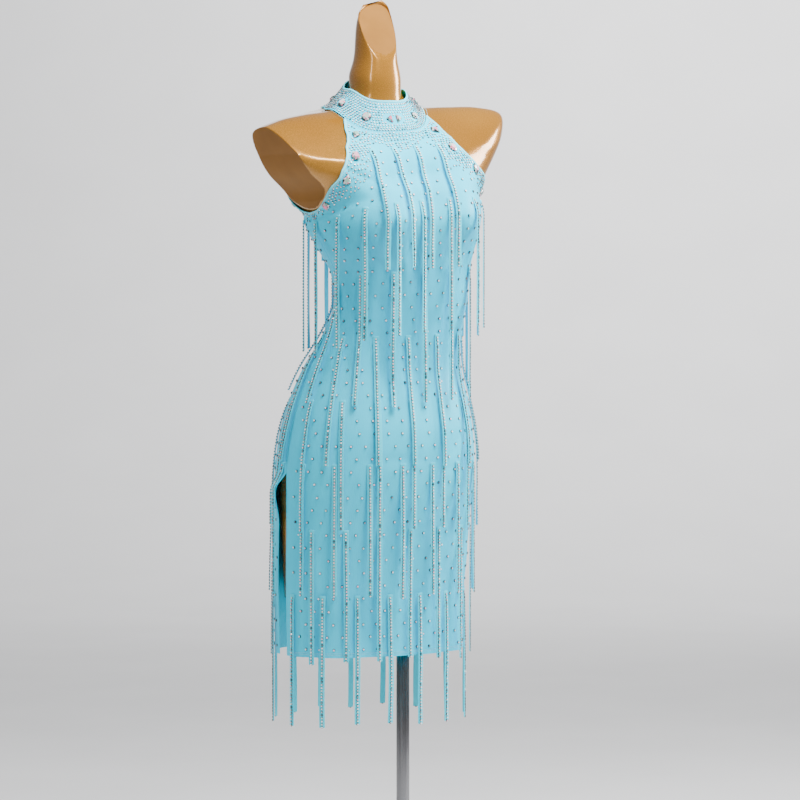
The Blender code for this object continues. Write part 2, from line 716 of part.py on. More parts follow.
def armhole_place(height, column, side):
    """Level and angle of a point beside an armhole edge, at a height."""
    level = ARMPIT_LEVEL + 0.2
    while level < COLLAR_BASE_LEVEL:
        half = armhole_angle(level, column)
        middle = 0.0 if column == "front_arm" else 180.0
        edge = middle + side * half
        one_degree = (skin(level, edge) - skin(level, edge - side)).length
        angle = edge - side * ARMHOLE_STONE_INSET / one_degree
        place = skin(level, angle)
        if place.z >= height + section_at(level).tilt * (place.x - NECK_X):
            return level, angle
        level += 0.02
    return level, angle


def stone_rows():
    """Every large stone: on the collar, and beside the armholes front and back."""
    rows = []
    for index, angle in enumerate(COLLAR_STONE_ANGLES):
        rows.append(Stone(f"stone_collar_{index + 1}", COLLAR_STONE_LEVEL, angle, *COLLAR_STONE_SIZE, 6, 0))
    for sign, name in ((-1, "a"), (1, "b")):
        level = COLLAR_STONE_LEVEL
        angle = sign * FRONT_PAIR_ANGLE
        rows.append(Stone(f"stone_front_{name}", level, angle, *FRONT_PAIR_SIZE, 3, -90 * sign))
    for column, place, heights in (
        ("front_arm", "front", FRONT_ARMHOLE_HEIGHTS),
        ("back_arm", "back", BACK_ARMHOLE_HEIGHTS),
    ):
        for side, hand in ((-1, "right"), (1, "left")):
            if place == "back":
                side = -side
            for index, height in enumerate(heights):
                level, angle = armhole_place(height, column, side)
                name = f"stone_{place}_{hand}_{index + 1}"
                rows.append(Stone(name, level, angle, *ARMHOLE_STONE_SIZE, 6, ARMHOLE_STONE_TURN * side))
    return rows


def stone_seat(stone, normal):
    """Middle of a stone's flat back, clear of the highest cloth under it."""
    middle = smooth_cloth(stone.level, stone.angle, CLOTH_WALL)
    one_level = (skin(stone.level + 0.1, stone.angle) - skin(stone.level, stone.angle)).length / 0.1
    one_degree = (skin(stone.level, stone.angle + 1.0) - skin(stone.level, stone.angle)).length
    rise = 0.0
    for up in (-0.5, 0.0, 0.5):
        for aside in (-0.5, 0.0, 0.5):
            level = stone.level + up * stone.length / one_level
            angle = stone.angle + aside * stone.width / one_degree
            rise = max(rise, (smooth_cloth(level, angle, CLOTH_WALL) - middle).dot(normal))
    return middle + normal * (rise + STONE_GAP)


def build_stone(stone, material):
    """A flat-backed cut stone, set on the cloth."""
    normal = skin_normal(stone.level, stone.angle)
    across = skin(stone.level, stone.angle + 0.5) - skin(stone.level, stone.angle - 0.5)
    across = (across - normal * across.dot(normal)).normalized()
    upward = normal.cross(across)
    middle = stone_seat(stone, normal)
    builder = bmesh.new()
    rings = []
    for scale, height in ((1.0, 0.0), (1.0, 0.25), (STONE_TABLE, 1.0)):
        ring = []
        for step in range(stone.sides):
            turn = 2 * math.pi * step / stone.sides + math.radians(stone.turn + 90)
            along = upward * (math.sin(turn) * scale * stone.length / 2)
            beside = across * (math.cos(turn) * scale * stone.width / 2)
            raised = normal * (height * STONE_HEIGHT)
            ring.append(builder.verts.new(middle + along + beside + raised))
        rings.append(ring)
    for low, high in zip(rings, rings[1:]):
        for start in range(stone.sides):
            end = (start + 1) % stone.sides
            builder.faces.new((low[start], low[end], high[end], high[start]))
    builder.faces.new(rings[0][::-1])
    builder.faces.new(rings[-1])
    add_object(stone.name, builder, material, 10.0)


def main():
    for old in list(bpy.data.objects):
        bpy.data.objects.remove(old, do_unlink=True)
    for name, edges in (
        ("front", front_edges),
        ("back_left", back_left_edges),
        ("back_right", back_right_edges),
    ):
        build_panel(name, edges, make_material(f"satin_{name}", SATIN, 0.4, 0.0))
    build_collar(make_material("satin_collar", SATIN, 0.4, 0.0))
    slices = Slices()
    for tier in TIERS:
        build_tier(tier, slices, make_material(f"satin_{tier.name}", SATIN, 0.4, 0.0))
    form_bottom = build_form(make_material("gold_paint", GOLD_PAINT, 0.25, 0.6))
    build_stand(
        form_bottom,
        make_material("steel", STEEL, 0.3, 1.0),
        make_material("base_steel", BASE_STEEL, 0.35, 1.0),
    )
    for stone in stone_rows():
        build_stone(stone, make_material(f"crystal_{stone.name}", CRYSTAL, 0.05, 0.0))


main()
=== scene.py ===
import bisect
import math
import random
from collections import namedtuple

import bpy
from mathutils import Matrix, Vector
from mathutils.kdtree import KDTree


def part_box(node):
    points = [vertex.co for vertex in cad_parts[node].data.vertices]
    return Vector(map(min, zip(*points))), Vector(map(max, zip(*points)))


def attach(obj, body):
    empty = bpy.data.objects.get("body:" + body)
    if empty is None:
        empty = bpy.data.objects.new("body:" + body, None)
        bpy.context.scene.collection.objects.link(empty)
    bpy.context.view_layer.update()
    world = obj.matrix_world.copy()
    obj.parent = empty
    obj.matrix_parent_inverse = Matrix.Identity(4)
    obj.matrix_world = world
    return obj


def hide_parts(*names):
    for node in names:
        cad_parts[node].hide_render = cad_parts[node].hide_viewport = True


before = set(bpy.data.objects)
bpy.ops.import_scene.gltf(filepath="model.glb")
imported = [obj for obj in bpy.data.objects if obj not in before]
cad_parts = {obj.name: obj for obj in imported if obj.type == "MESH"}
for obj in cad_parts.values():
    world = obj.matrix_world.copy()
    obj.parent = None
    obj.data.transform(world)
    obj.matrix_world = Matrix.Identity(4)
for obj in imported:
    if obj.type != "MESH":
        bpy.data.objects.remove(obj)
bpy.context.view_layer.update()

# Metres, +Z up. The dress faces -Y and the wearer's left is +X.
# Angles go round the body in degrees, from 0 at the centre front to the wearer's left.

body = {
    "neckX": -0.048,            # neck's axis seen from the pole
    "neckY": 0.010,
    "squareness": 0.09,
    "bustSpread": 0.075,
    "bustHeight": 1.192,
    "bustRise": 0.024,
    "bustWidth": 0.036,
    "bustAbove": 0.055,
    "bustBelow": 0.034,
    "socketX": 0.224,           # flat arm sockets
    "socketTop": 1.335,
    "socketSlope": 0.58,
    "socketLean": 0.019,
    "socketTurn": 0.11,
    "socketTurnAt": -0.015,
    "scoop": 0.009,
    "scoopHeight": 1.248,
    "scoopReach": 0.022,
    "leanFrom": 1.23,
    "leanTo": 1.31,
    "neckCutHeight": 1.458,
    "neckCutFront": -0.036,
    "neckCutSlope": 0.575,
    "rimRound": 0.0035,         # how far the rims of the cut faces are rounded
}
cloth = {
    "wall": 0.0015,
    "formClearance": 0.0008,
    "seamAngle": 0.1,
    "seamLevel": 0.02,
    "perDegree": 0.0024,        # cloth in one degree of the body, about
    "armholeRound": 0.6,
    "hemTurn": 0.012,
    "hemRise": 0.0004,
    "hemStep": 0.0006,
    "seamDip": 0.0006,          # the seams' shallow valleys
    "seamDipWidth": 0.0014,
    "columnStep": 2.4,
    "rowStep": 0.1,
}
slit = {"top": 0.772, "opening": 12.0, "ramp": 0.10, "kick": 0.013,
        "kickHeight": 0.742, "kickReach": 0.034,
        "kickSpread": 9.0, "kickRamp": 0.02}

Ring = namedtuple(
    "Ring", "side front back shift seam halfWidth frontDepth backDepth tilt room frontArm backArm",
)

# Heights at side, centre front and centre back; shift across; side seam's place; half width;
# depths in front and behind; tilt; room inside; angles at which the armholes cut
rings = [
    Ring(0.471, 0.471, 0.471, -0.006, 0.000, 0.165, 0.106, 0.133, 0.000, 0.0220, 90, 90),   # hem
    Ring(0.520, 0.520, 0.520, -0.006, 0.000, 0.166, 0.106, 0.133, 0.000, 0.0200, 90, 90),
    Ring(0.572, 0.572, 0.572, -0.006, 0.000, 0.167, 0.106, 0.133, 0.000, 0.0170, 90, 90),
    Ring(0.626, 0.626, 0.626, -0.005, 0.000, 0.168, 0.109, 0.134, 0.000, 0.0130, 90, 90),
    Ring(0.680, 0.680, 0.680, -0.003, 0.000, 0.169, 0.114, 0.135, 0.000, 0.0090, 90, 90),
    Ring(0.734, 0.734, 0.734, -0.001, 0.000, 0.170, 0.122, 0.137, 0.000, 0.0050, 90, 90),
    Ring(0.788, 0.788, 0.788, 0.002, 0.000, 0.170, 0.127, 0.138, 0.000, 0.0010, 90, 90),    # hips
    Ring(0.840, 0.840, 0.840, 0.004, 0.000, 0.164, 0.127, 0.133, 0.000, 0.0000, 90, 90),
    Ring(0.892, 0.892, 0.892, 0.005, -0.005, 0.152, 0.114, 0.120, 0.000, 0.0000, 90, 90),
    Ring(0.945, 0.945, 0.945, 0.008, -0.012, 0.136, 0.099, 0.102, 0.005, 0.0000, 90, 90),
    Ring(0.998, 0.998, 0.998, 0.018, -0.024, 0.123, 0.087, 0.080, 0.018, 0.0000, 90, 90),
    Ring(1.050, 1.050, 1.050, 0.026, -0.036, 0.118, 0.082, 0.069, 0.032, 0.0015, 90, 90),   # waist
    Ring(1.105, 1.105, 1.105, 0.026, -0.038, 0.122, 0.088, 0.076, 0.048, 0.0030, 90, 90),
    Ring(1.145, 1.147, 1.147, 0.023, -0.033, 0.136, 0.102, 0.094, 0.060, 0.0030, 90, 90),
    Ring(1.180, 1.190, 1.188, 0.021, -0.022, 0.148, 0.114, 0.105, 0.075, 0.0010, 90, 90),   # bust
    Ring(1.196, 1.220, 1.212, 0.020, -0.019, 0.151, 0.112, 0.107, 0.078, 0.0012, 90, 90),
    Ring(1.210, 1.238, 1.232, 0.019, -0.017, 0.153, 0.109, 0.108, 0.080, 0.0018, 90, 90),   # armpit
    Ring(1.240, 1.260, 1.260, 0.014, -0.015, 0.188, 0.099, 0.107, 0.084, 0.0020, 47, 50),
    Ring(1.272, 1.281, 1.290, 0.006, -0.014, 0.215, 0.093, 0.108, 0.088, 0.0014, 32, 33),
    Ring(1.310, 1.299, 1.320, 0.001, -0.014, 0.235, 0.084, 0.106, 0.090, 0.0008, 25, 23),
    Ring(1.350, 1.314, 1.346, 0.000, -0.013, 0.236, 0.071, 0.101, 0.090, 0.0008, 23, 19),
    Ring(1.367, 1.323, 1.364, 0.000, -0.009, 0.190, 0.069, 0.090, 0.080, 0.0008, 27, 19),
    Ring(1.373, 1.329, 1.378, 0.000, -0.002, 0.136, 0.074, 0.078, 0.065, 0.0008, 38, 24),
    Ring(1.376, 1.334, 1.390, 0.000, 0.006, 0.086, 0.080, 0.061, 0.050, 0.0006, 62, 52),    # collar seam
    Ring(1.388, 1.357, 1.406, 0.000, 0.003, 0.068, 0.065, 0.054, 0.030, 0.0030, 90, 90),
    Ring(1.405, 1.384, 1.425, 0.000, 0.000, 0.052, 0.050, 0.048, 0.015, 0.0060, 90, 90),    # collar top
    Ring(1.428, 1.422, 1.438, 0.000, 0.000, 0.044, 0.043, 0.043, 0.000, 0.0000, 90, 90),
    Ring(1.460, 1.460, 1.460, 0.001, 0.000, 0.0370, 0.0375, 0.0375, 0.000, 0.0000, 90, 90),
    Ring(1.508, 1.508, 1.508, 0.002, 0.000, 0.0345, 0.0345, 0.0345, 0.000, 0.0000, 90, 90),
    Ring(1.535, 1.535, 1.535, 0.004, 0.002, 0.030, 0.030, 0.030, 0.180, 0.0000, 90, 90),
    Ring(1.549, 1.549, 1.549, 0.006, 0.004, 0.018, 0.016, 0.018, 0.250, 0.0000, 90, 90),
]
bustLevel = 14
armpitLevel = 16
collarLevel = 23
collarTopLevel = 25
topLevel = len(rings) - 1

# Long folds: angle, from height, to height, half width in degrees, depth
longFolds = [
    (-20.0, 0.38, 0.66, 8.0, 0.0070),
    (8.0, 0.38, 0.70, 7.0, 0.0055),
    (30.0, 0.38, 0.64, 8.0, 0.0070),
    (-60.0, 0.38, 0.60, 9.0, 0.0050),
    (62.0, 0.38, 0.62, 9.0, 0.0055),
    (118.0, 0.38, 0.66, 9.0, 0.0060),
    (150.0, 0.38, 0.70, 8.0, 0.0070),
    (178.0, 0.38, 0.64, 8.0, 0.0050),
    (210.0, 0.38, 0.68, 9.0, 0.0065),
    (-30.0, 1.080, 1.180, 8.0, 0.0028),
    (-8.0, 1.070, 1.180, 7.0, 0.0030),
    (18.0, 1.080, 1.180, 7.0, 0.0026),
    (40.0, 1.070, 1.180, 8.0, 0.0028),
    (150.0, 1.040, 1.150, 9.0, 0.0026),
    (182.0, 1.040, 1.150, 8.0, 0.0026),
    (212.0, 1.040, 1.150, 9.0, 0.0026),
]

# Soft creases: from angle and height, to angle and height, half width, depth
creases = [
    (-36, 1.330, -14, 1.284, 0.006, 0.0024),    # from the armhole across the chest
    (-27, 1.314, -19, 1.266, 0.006, 0.0020),
    (-34, 1.292, -24, 1.240, 0.006, 0.0018),
    (-31, 1.206, -39, 1.150, 0.007, 0.0042),    # beside the ribbons under the bust
    (-23, 1.194, -30, 1.118, 0.008, 0.0046),
    (-7, 1.194, -17, 1.116, 0.008, 0.0046),
    (21, 1.194, 14, 1.120, 0.008, 0.0044),
    (-52, 1.165, -30, 1.085, 0.009, 0.0030),    # under the bust, front
    (-34, 1.175, -20, 1.075, 0.008, 0.0034),
    (-14, 1.185, -6, 1.060, 0.010, 0.0036),
    (8, 1.180, 6, 1.080, 0.008, 0.0026),
    (26, 1.178, 18, 1.075, 0.009, 0.0032),
    (48, 1.160, 34, 1.090, 0.008, 0.0024),
    (66, 1.170, 54, 1.110, 0.010, 0.0022),
    (-70, 1.190, -56, 1.120, 0.009, 0.0022),
    (-13, 1.268, -20, 1.190, 0.008, 0.0012),    # over the bust
    (4, 1.280, 0, 1.185, 0.011, 0.0022),
    (14, 1.285, 20, 1.200, 0.007, 0.0011),
    (-26, 1.262, -38, 1.205, 0.007, 0.0010),
    (-44, 1.075, -24, 1.010, 0.011, 0.0024),    # waist and belly
    (-16, 1.060, -10, 0.930, 0.012, 0.0030),
    (6, 1.040, 2, 0.900, 0.014, 0.0032),
    (28, 1.055, 22, 0.950, 0.010, 0.0022),
    (40, 1.010, 46, 0.900, 0.012, 0.0024),
    (62, 1.040, 58, 0.930, 0.010, 0.0018),
    (-62, 1.020, -48, 0.930, 0.010, 0.0018),
    (50, 0.885, 33, 0.765, 0.010, 0.0056),      # slanted over the hip
    (36, 0.845, 20, 0.790, 0.008, 0.0016),
    (-30, 0.800, 10, 0.792, 0.007, 0.0011),     # pull across the hips
    (12, 0.782, 34, 0.776, 0.006, 0.0010),
    (-34, 0.760, -36, 0.560, 0.008, 0.0030),    # skirt flutes
    (-12, 0.770, -10, 0.500, 0.007, 0.0034),
    (6, 0.700, 5, 0.470, 0.006, 0.0028),
    (22, 0.765, 24, 0.560, 0.007, 0.0030),
    (44, 0.740, 46, 0.480, 0.010, 0.0034),
    (-50, 0.700, -52, 0.480, 0.008, 0.0020),
    (70, 0.720, 72, 0.500, 0.010, 0.0030),
    (-72, 0.640, -74, 0.490, 0.006, 0.0016),
    (96, 0.900, 100, 0.620, 0.011, 0.0026),     # side and back
    (112, 1.100, 128, 1.010, 0.010, 0.0028),
    (132, 1.120, 146, 1.030, 0.009, 0.0030),
    (168, 1.110, 160, 1.010, 0.010, 0.0034),
    (194, 1.110, 201, 1.000, 0.010, 0.0032),
    (230, 1.115, 217, 1.030, 0.009, 0.0028),
    (250, 1.090, 236, 1.005, 0.010, 0.0026),
    (140, 0.990, 152, 0.900, 0.010, 0.0018),
    (206, 0.985, 198, 0.890, 0.010, 0.0018),
    (130, 0.780, 132, 0.520, 0.009, 0.0032),
    (164, 0.760, 166, 0.500, 0.008, 0.0028),
    (192, 0.740, 190, 0.480, 0.010, 0.0034),
    (226, 0.760, 224, 0.520, 0.009, 0.0030),
    (244, 0.700, 246, 0.490, 0.007, 0.0020),
    (168, 1.290, 160, 1.200, 0.008, 0.0012),
    (193, 1.285, 201, 1.200, 0.008, 0.0012),
]

creaseReach = 2.6


def ringAt(level):
    # the section at any level, smooth through the table's rows
    row = min(max(int(level), 0), topLevel - 1)
    t = level - row
    around = [rings[min(max(row + step, 0), topLevel)] for step in (-1, 0, 1, 2)]
    values = []
    for before, start, end, after in zip(*around):
        bend = 2 * before - 5 * start + 4 * end - after
        twist = 3 * start - before - 3 * end + after
        values.append(0.5 * (2 * start + (end - before) * t + bend * t * t + twist * t ** 3))
    return Ring(*values)


keptRings = {}


def keptRing(level):
    key = round(level, 5)
    if key not in keptRings:
        keptRings[key] = ringAt(level)
    return keptRings[key]


def softLower(value, limit, reach):
    # the lower of the two, with a rounded corner between them
    return 0.5 * (value + limit - math.hypot(value - limit, reach))


def socketLimits(y, z):
    # how far out the two arm sockets' flat faces stand at a point
    scoop = body["scoop"] * math.exp(-((z - body["scoopHeight"]) / body["scoopReach"]) ** 2)
    limit = body["socketX"] - body["socketSlope"] * (body["socketTop"] - z) - scoop
    limit += body["socketTurn"] * (y - body["socketTurnAt"])
    share = (z - body["leanFrom"]) / (body["leanTo"] - body["leanFrom"])
    lean = body["socketLean"] * min(1.0, max(0.0, share))
    return lean - limit, lean + limit


def skin(level, angle):
    ring = keptRing(level)
    turn = math.radians(angle)
    sine, cosine = math.sin(turn), math.cos(turn)
    depth = ring.frontDepth if cosine > 0 else ring.backDepth
    crown = ring.front if cosine > 0 else ring.back
    climb = sine ** 4 if cosine > 0 else sine ** 2
    x = ring.halfWidth * sine * (1 + body["squareness"] * cosine ** 2)
    y = -depth * cosine * (1 + body["squareness"] * sine ** 2)
    z = crown + (ring.side - crown) * climb
    if cosine > 0 and 1.02 < z < 1.42:
        tall = body["bustBelow"] if z < body["bustHeight"] else body["bustAbove"]
        up = (z - body["bustHeight"]) / tall
        for side in (-1, 1):
            across = (x - side * body["bustSpread"]) / body["bustWidth"]
            y -= body["bustRise"] * math.exp(-0.5 * (across ** 2 + up ** 2)) * min(1.0, 3 * cosine)
    if armpitLevel < level < collarLevel:
        low, high = socketLimits(y, z)
        reach = body["rimRound"]
        x = softLower(x, high, reach) if x > 0 else -softLower(-x, -low, reach)
    if level > collarTopLevel:
        plane = body["neckCutFront"] + body["neckCutSlope"] * (z - body["neckCutHeight"])
        y = -softLower(-y, -plane, body["rimRound"])
    return Vector((body["neckX"] + ring.shift + x, body["neckY"] + ring.seam + y, z + ring.tilt * x))


def skinNormal(level, angle):
    low, high = max(level - 0.05, 0.0), min(level + 0.05, topLevel)
    along = skin(level, angle + 1.0) - skin(level, angle - 1.0)
    return along.cross(skin(high, angle) - skin(low, angle)).normalized()


def gapBetween(level, angle, other):
    # metres between two angles of one level
    return (skin(level, angle) - skin(level, other)).length


def alongLine(points, first, pitch):
    # the piece of the line and the share of it for every place a pitch apart
    run, due = 0.0, first
    for index, (start, end) in enumerate(zip(points, points[1:])):
        span = (end - start).length
        while due < run + span:
            yield index, (due - run) / max(span, 1e-6)
            due += pitch
        run += span


def turnBetween(angle, other):
    return (angle - other + 180.0) % 360.0 - 180.0


def foldDepth(angle, z):
    depth = 0.0
    for middle, low, high, halfWidth, deep in longFolds:
        if low < z < high:
            across = turnBetween(angle, middle) / halfWidth
            depth += deep * math.exp(-across ** 2) * math.sin(math.pi * (z - low) / (high - low))
    return depth


def creaseDepth(angle, z):
    depth = 0.0
    for startAngle, startZ, endAngle, endZ, halfWidth, deep in creases:
        if not min(startZ, endZ) - 0.01 < z < max(startZ, endZ) + 0.01:
            continue
        runX = (endAngle - startAngle) * cloth["perDegree"]
        runZ = endZ - startZ
        placeX = turnBetween(angle, startAngle) * cloth["perDegree"]
        placeZ = z - startZ
        length = math.hypot(runX, runZ)
        share = (placeX * runX + placeZ * runZ) / length ** 2
        if not 0.0 < share < 1.0:
            continue
        bow = 0.25 * halfWidth * math.sin(2 * math.pi * share)
        across = abs((placeX * runZ - placeZ * runX) / length - bow) / halfWidth
        if across < creaseReach:
            depth += deep * math.sin(math.pi * share) ** 0.8 * math.exp(-across ** 1.7)
    return depth


def slitEdges(z):
    opened = slit["opening"] * min(1.0, max(0.0, (slit["top"] - z) / slit["ramp"])) ** 0.7
    return -90.0 + 0.2 * opened, 270.0 - 0.8 * opened


def slitKick(angle, z):
    if z > slit["top"] or angle <= 180.0:
        return 0.0
    along = (z - slit["kickHeight"]) / slit["kickReach"]
    across = turnBetween(angle, slitEdges(z)[1]) / slit["kickSpread"]
    return slit["kick"] * min(1.0, (slit["top"] - z) / slit["kickRamp"]) * math.exp(-along ** 2 - across ** 2)


def smoothCloth(level, angle, out):
    # point of the cloth without its folds, out metres off its inner face
    base = skin(level, angle)
    return base + skinNormal(level, angle) * (out - cloth["wall"] + slitKick(angle, base.z))


def clothPoint(level, angle, out):
    z = skin(level, angle).z
    return smoothCloth(level, angle, out - foldDepth(angle, z) - creaseDepth(angle, z))


def armholeAngle(level, column):
    if level <= armpitLevel:
        return 90.0
    first = getattr(rings[armpitLevel + 1], column)
    if level < armpitLevel + 1:
        return 90.0 - (90.0 - first) * (level - armpitLevel) ** cloth["armholeRound"]
    return getattr(keptRing(level), column)


def frontEdges(level):
    half = armholeAngle(level, "frontArm") - cloth["seamAngle"]
    right = slitEdges(skin(level, -90.0).z)[0] + cloth["seamAngle"] if level < armpitLevel else -half
    return right, half


def backLeftEdges(level):
    return 180.0 - armholeAngle(level, "backArm") + cloth["seamAngle"], 180.0 - cloth["seamAngle"]


def backRightEdges(level):
    end = 180.0 + armholeAngle(level, "backArm") - cloth["seamAngle"]
    if level < armpitLevel:
        end = slitEdges(skin(level, -90.0).z)[1] - cloth["seamAngle"]
    return 180.0 + cloth["seamAngle"], end


def makePiece(name, points, faces, uv=None, smoothAngle=40.0):
    mesh = bpy.data.meshes.new(name)
    mesh.from_pydata([tuple(point) for point in points], [], faces)
    if uv:
        layer = mesh.uv_layers.new(name="clothUV")
        for loop in mesh.loops:
            layer.data[loop.index].uv = uv[loop.vertex_index]
    mesh.shade_smooth()
    mesh.set_sharp_from_angle(angle=math.radians(smoothAngle))
    piece = bpy.data.objects.new(name, mesh)
    bpy.context.scene.collection.objects.link(piece)
    return piece


def wallPiece(name, grid):
    # a wall from rows of (outer point, inner point, uv), from the bottom row up
    rows, columns = len(grid), len(grid[0])
    half = rows * columns
    top = half - columns
    faces = []
    for row in range(rows - 1):
        for a in range(row * columns, row * columns + columns - 1):
            b, c, d = a + 1, a + 1 + columns, a + columns
            faces.append((a, b, c, d))
            faces.append((half + d, half + c, half + b, half + a))
        a, d = row * columns, (row + 1) * columns
        b, c = a + columns - 1, d + columns - 1
        faces.append((a, d, half + d, half + a))
        faces.append((c, b, half + b, half + c))
    for start in range(columns - 1):
        faces.append((start + 1, start, half + start, half + start + 1))
        faces.append((top + start, top + start + 1, half + top + start + 1, half + top + start))
    outer, inner, uv = zip(*(place for row in grid for place in row))
    piece = makePiece(name, outer + inner, faces, uv + uv)
    piece.data.materials.append(satin)
    return piece


def tubeFaces(rows, count, first=0):
    # quads round a stack of rings, then both end caps
    faces = []
    for low in range(first, first + (rows - 1) * count, count):
        for step in range(count):
            other = (step + 1) % count
            faces.append((low + step, low + other, low + count + other, low + count + step))
    top = first + (rows - 1) * count
    return faces + [tuple(reversed(range(first, first + count))), tuple(range(top, top + count))]


def sweptPiece(name, path, profile):
    # path holds (middle, sideways, outward); profile holds (across, out) pairs going round
    points, uv = [], []
    run = 0.0
    for index, (middle, sideways, outward) in enumerate(path):
        if index:
            run += (middle - path[index - 1][0]).length
        for step, (across, out) in enumerate(profile):
            points.append(middle + sideways * across + outward * out)
            uv.append((across, run))
    piece = makePiece(name, points, tubeFaces(len(path), len(profile)), uv, 50.0)
    piece.data.materials.append(bindingSatin)
    return piece


# Materials


def hexColour(code):
    parts = [int(code[start:start + 2], 16) / 255 for start in (0, 2, 4)]
    return tuple(p / 12.92 if p <= 0.04045 else ((p + 0.055) / 1.055) ** 2.4 for p in parts) + (1.0,)


def addNode(tree, kind, links=None, values=None, **settings):
    node = tree.nodes.new(kind)
    for key, value in settings.items():
        setattr(node, key, value)
    for key, value in (values or {}).items():
        node.inputs[key].default_value = value
    for key, source in (links or {}).items():
        tree.links.new(source, node.inputs[key])
    return node


def newMaterial(name, **sockets):
    material = bpy.data.materials.new(name)
    material.use_nodes = True
    tree = material.node_tree
    shader = tree.nodes["Principled BSDF"]
    for key, value in sockets.items():
        shader.inputs[key.replace("_", " ")].default_value = value
    return material, tree, shader


def dressShader(tree, shader, colour, grain=None, roughness=None, relief=None, bump=None):
    # colour; roughness between two values by a grain; relief with a bump's strength and distance
    tree.links.new(colour, shader.inputs["Base Color"])
    if grain is None:
        return
    shine = addNode(
        tree, "ShaderNodeMapRange", {"Value": grain},
        {"From Min": 0.3, "From Max": 0.7, "To Min": roughness[0], "To Max": roughness[1]},
    )
    raised = addNode(tree, "ShaderNodeBump", {"Height": relief}, {"Strength": bump[0], "Distance": bump[1]})
    tree.links.new(shine.outputs["Result"], shader.inputs["Roughness"])
    tree.links.new(raised.outputs["Normal"], shader.inputs["Normal"])


def colourRamp(tree, factor, stops):
    ramp = addNode(tree, "ShaderNodeValToRGB", {"Fac": factor})
    elements = ramp.color_ramp.elements
    for index, (place, code) in enumerate(stops):
        element = elements[index] if index < 2 else elements.new(place)
        element.position = place
        element.color = hexColour(code)
    return ramp.outputs["Color"]


def stretchSatin(name, dark, middle, light, roughness):
    # Nylon and elastane satin, warp-knitted and calendered: a soft wide shine with a fine vertical rib
    material, tree, shader = newMaterial(
        name, Roughness=roughness, IOR=1.52, Sheen_Weight=0.02, Sheen_Roughness=0.4,
        Specular_IOR_Level=0.2, Anisotropic=0.35,
    )
    shader.inputs["Sheen Tint"].default_value = hexColour("7FE8FF")
    coords = addNode(tree, "ShaderNodeTexCoord")
    patches = addNode(
        tree, "ShaderNodeTexNoise", {"Vector": coords.outputs["Object"]},
        {"Scale": 9.0, "Detail": 3.0, "Roughness": 0.55},
    )
    colour = colourRamp(tree, patches.outputs["Fac"], ((0.3, dark), (0.7, light), (0.5, middle)))
    ribs = addNode(tree, "ShaderNodeMapping", {"Vector": coords.outputs["UV"]}, {"Scale": (1.0, 0.35, 1.0)})
    weave = addNode(        # knit wales 0.5 mm apart, drawn 1.4 mm apart so that they show
        tree, "ShaderNodeTexWave", {"Vector": ribs.outputs["Vector"]},
        {"Scale": 112.0, "Distortion": 1.6, "Detail": 2.0, "Detail Scale": 2.0},
        wave_type="BANDS", bands_direction="X",
    )
    slub = addNode(
        tree, "ShaderNodeTexNoise", {"Vector": coords.outputs["UV"]},
        {"Scale": 420.0, "Detail": 2.0, "Roughness": 0.6},
    )
    height = addNode(tree, "ShaderNodeMath", {0: weave.outputs["Fac"], 1: slub.outputs["Fac"]}, operation="ADD")
    span = (roughness - 0.04, roughness + 0.06)
    dressShader(tree, shader, colour, slub.outputs["Fac"], span, height.outputs[0], (0.10, 0.0003))
    return material


def goldLacquer():
    # Fibreglass sprayed with gold metallic lacquer under a clear coat: warm, sharp reflections
    material, tree, shader = newMaterial(
        "goldLacquerOnFibreglass", Metallic=0.5, Roughness=0.26, Coat_Weight=0.9, Coat_Roughness=0.05,
    )
    place = addNode(tree, "ShaderNodeTexCoord").outputs["Object"]
    cloud = addNode(tree, "ShaderNodeTexNoise", {"Vector": place}, {"Scale": 6.0, "Detail": 2.0})
    # 0.05 mm flakes, drawn at 0.8 mm
    flake = addNode(tree, "ShaderNodeTexNoise", {"Vector": place}, {"Scale": 1200.0, "Detail": 1.0})
    colour = colourRamp(tree, cloud.outputs["Fac"], ((0.3, "986418"), (0.7, "AA7626"), (0.5, "A06C1E")))
    ripple = addNode(tree, "ShaderNodeTexNoise", {"Vector": place}, {"Scale": 30.0})
    dressShader(tree, shader, colour, flake.outputs["Fac"], (0.20, 0.30), ripple.outputs["Fac"], (0.06, 0.001))
    return material


def makeCutFaceGoldWithPaintedShade():
    # The same lacquer on the flat cut faces: dull, with no clear coat over it, and a darker base that is
    # painted shade for the dark surroundings these faces reflect
    material, tree, shader = newMaterial("dullGoldWithPaintedShadeOnCutFaces", Roughness=0.6, Specular_IOR_Level=0.2)
    place = addNode(tree, "ShaderNodeTexCoord").outputs["Object"]
    cloud = addNode(tree, "ShaderNodeTexNoise", {"Vector": place}, {"Scale": 14.0, "Detail": 3.0})
    dressShader(tree, shader, colourRamp(tree, cloud.outputs["Fac"], ((0.3, "744E20"), (0.7, "845B29"))))
    return material


def steel(name, dark, light, roughness, grain):
    # Rolled and polished steel: fine marks along the grain that stretch the highlights
    material, tree, shader = newMaterial(name, Metallic=1.0, Roughness=roughness)
    place = addNode(tree, "ShaderNodeTexCoord").outputs["Object"]
    stretched = addNode(tree, "ShaderNodeMapping", {"Vector": place}, {"Scale": grain}).outputs["Vector"]
    grained = addNode(tree, "ShaderNodeTexNoise", {"Vector": stretched}, {"Scale": 1.0, "Detail": 4.0})
    marks = grained.outputs["Fac"]
    colour = colourRamp(tree, marks, ((0.3, dark), (0.7, light)))
    dressShader(tree, shader, colour, marks, (roughness - 0.06, roughness + 0.08), marks, (0.05, 0.0004))
    return material


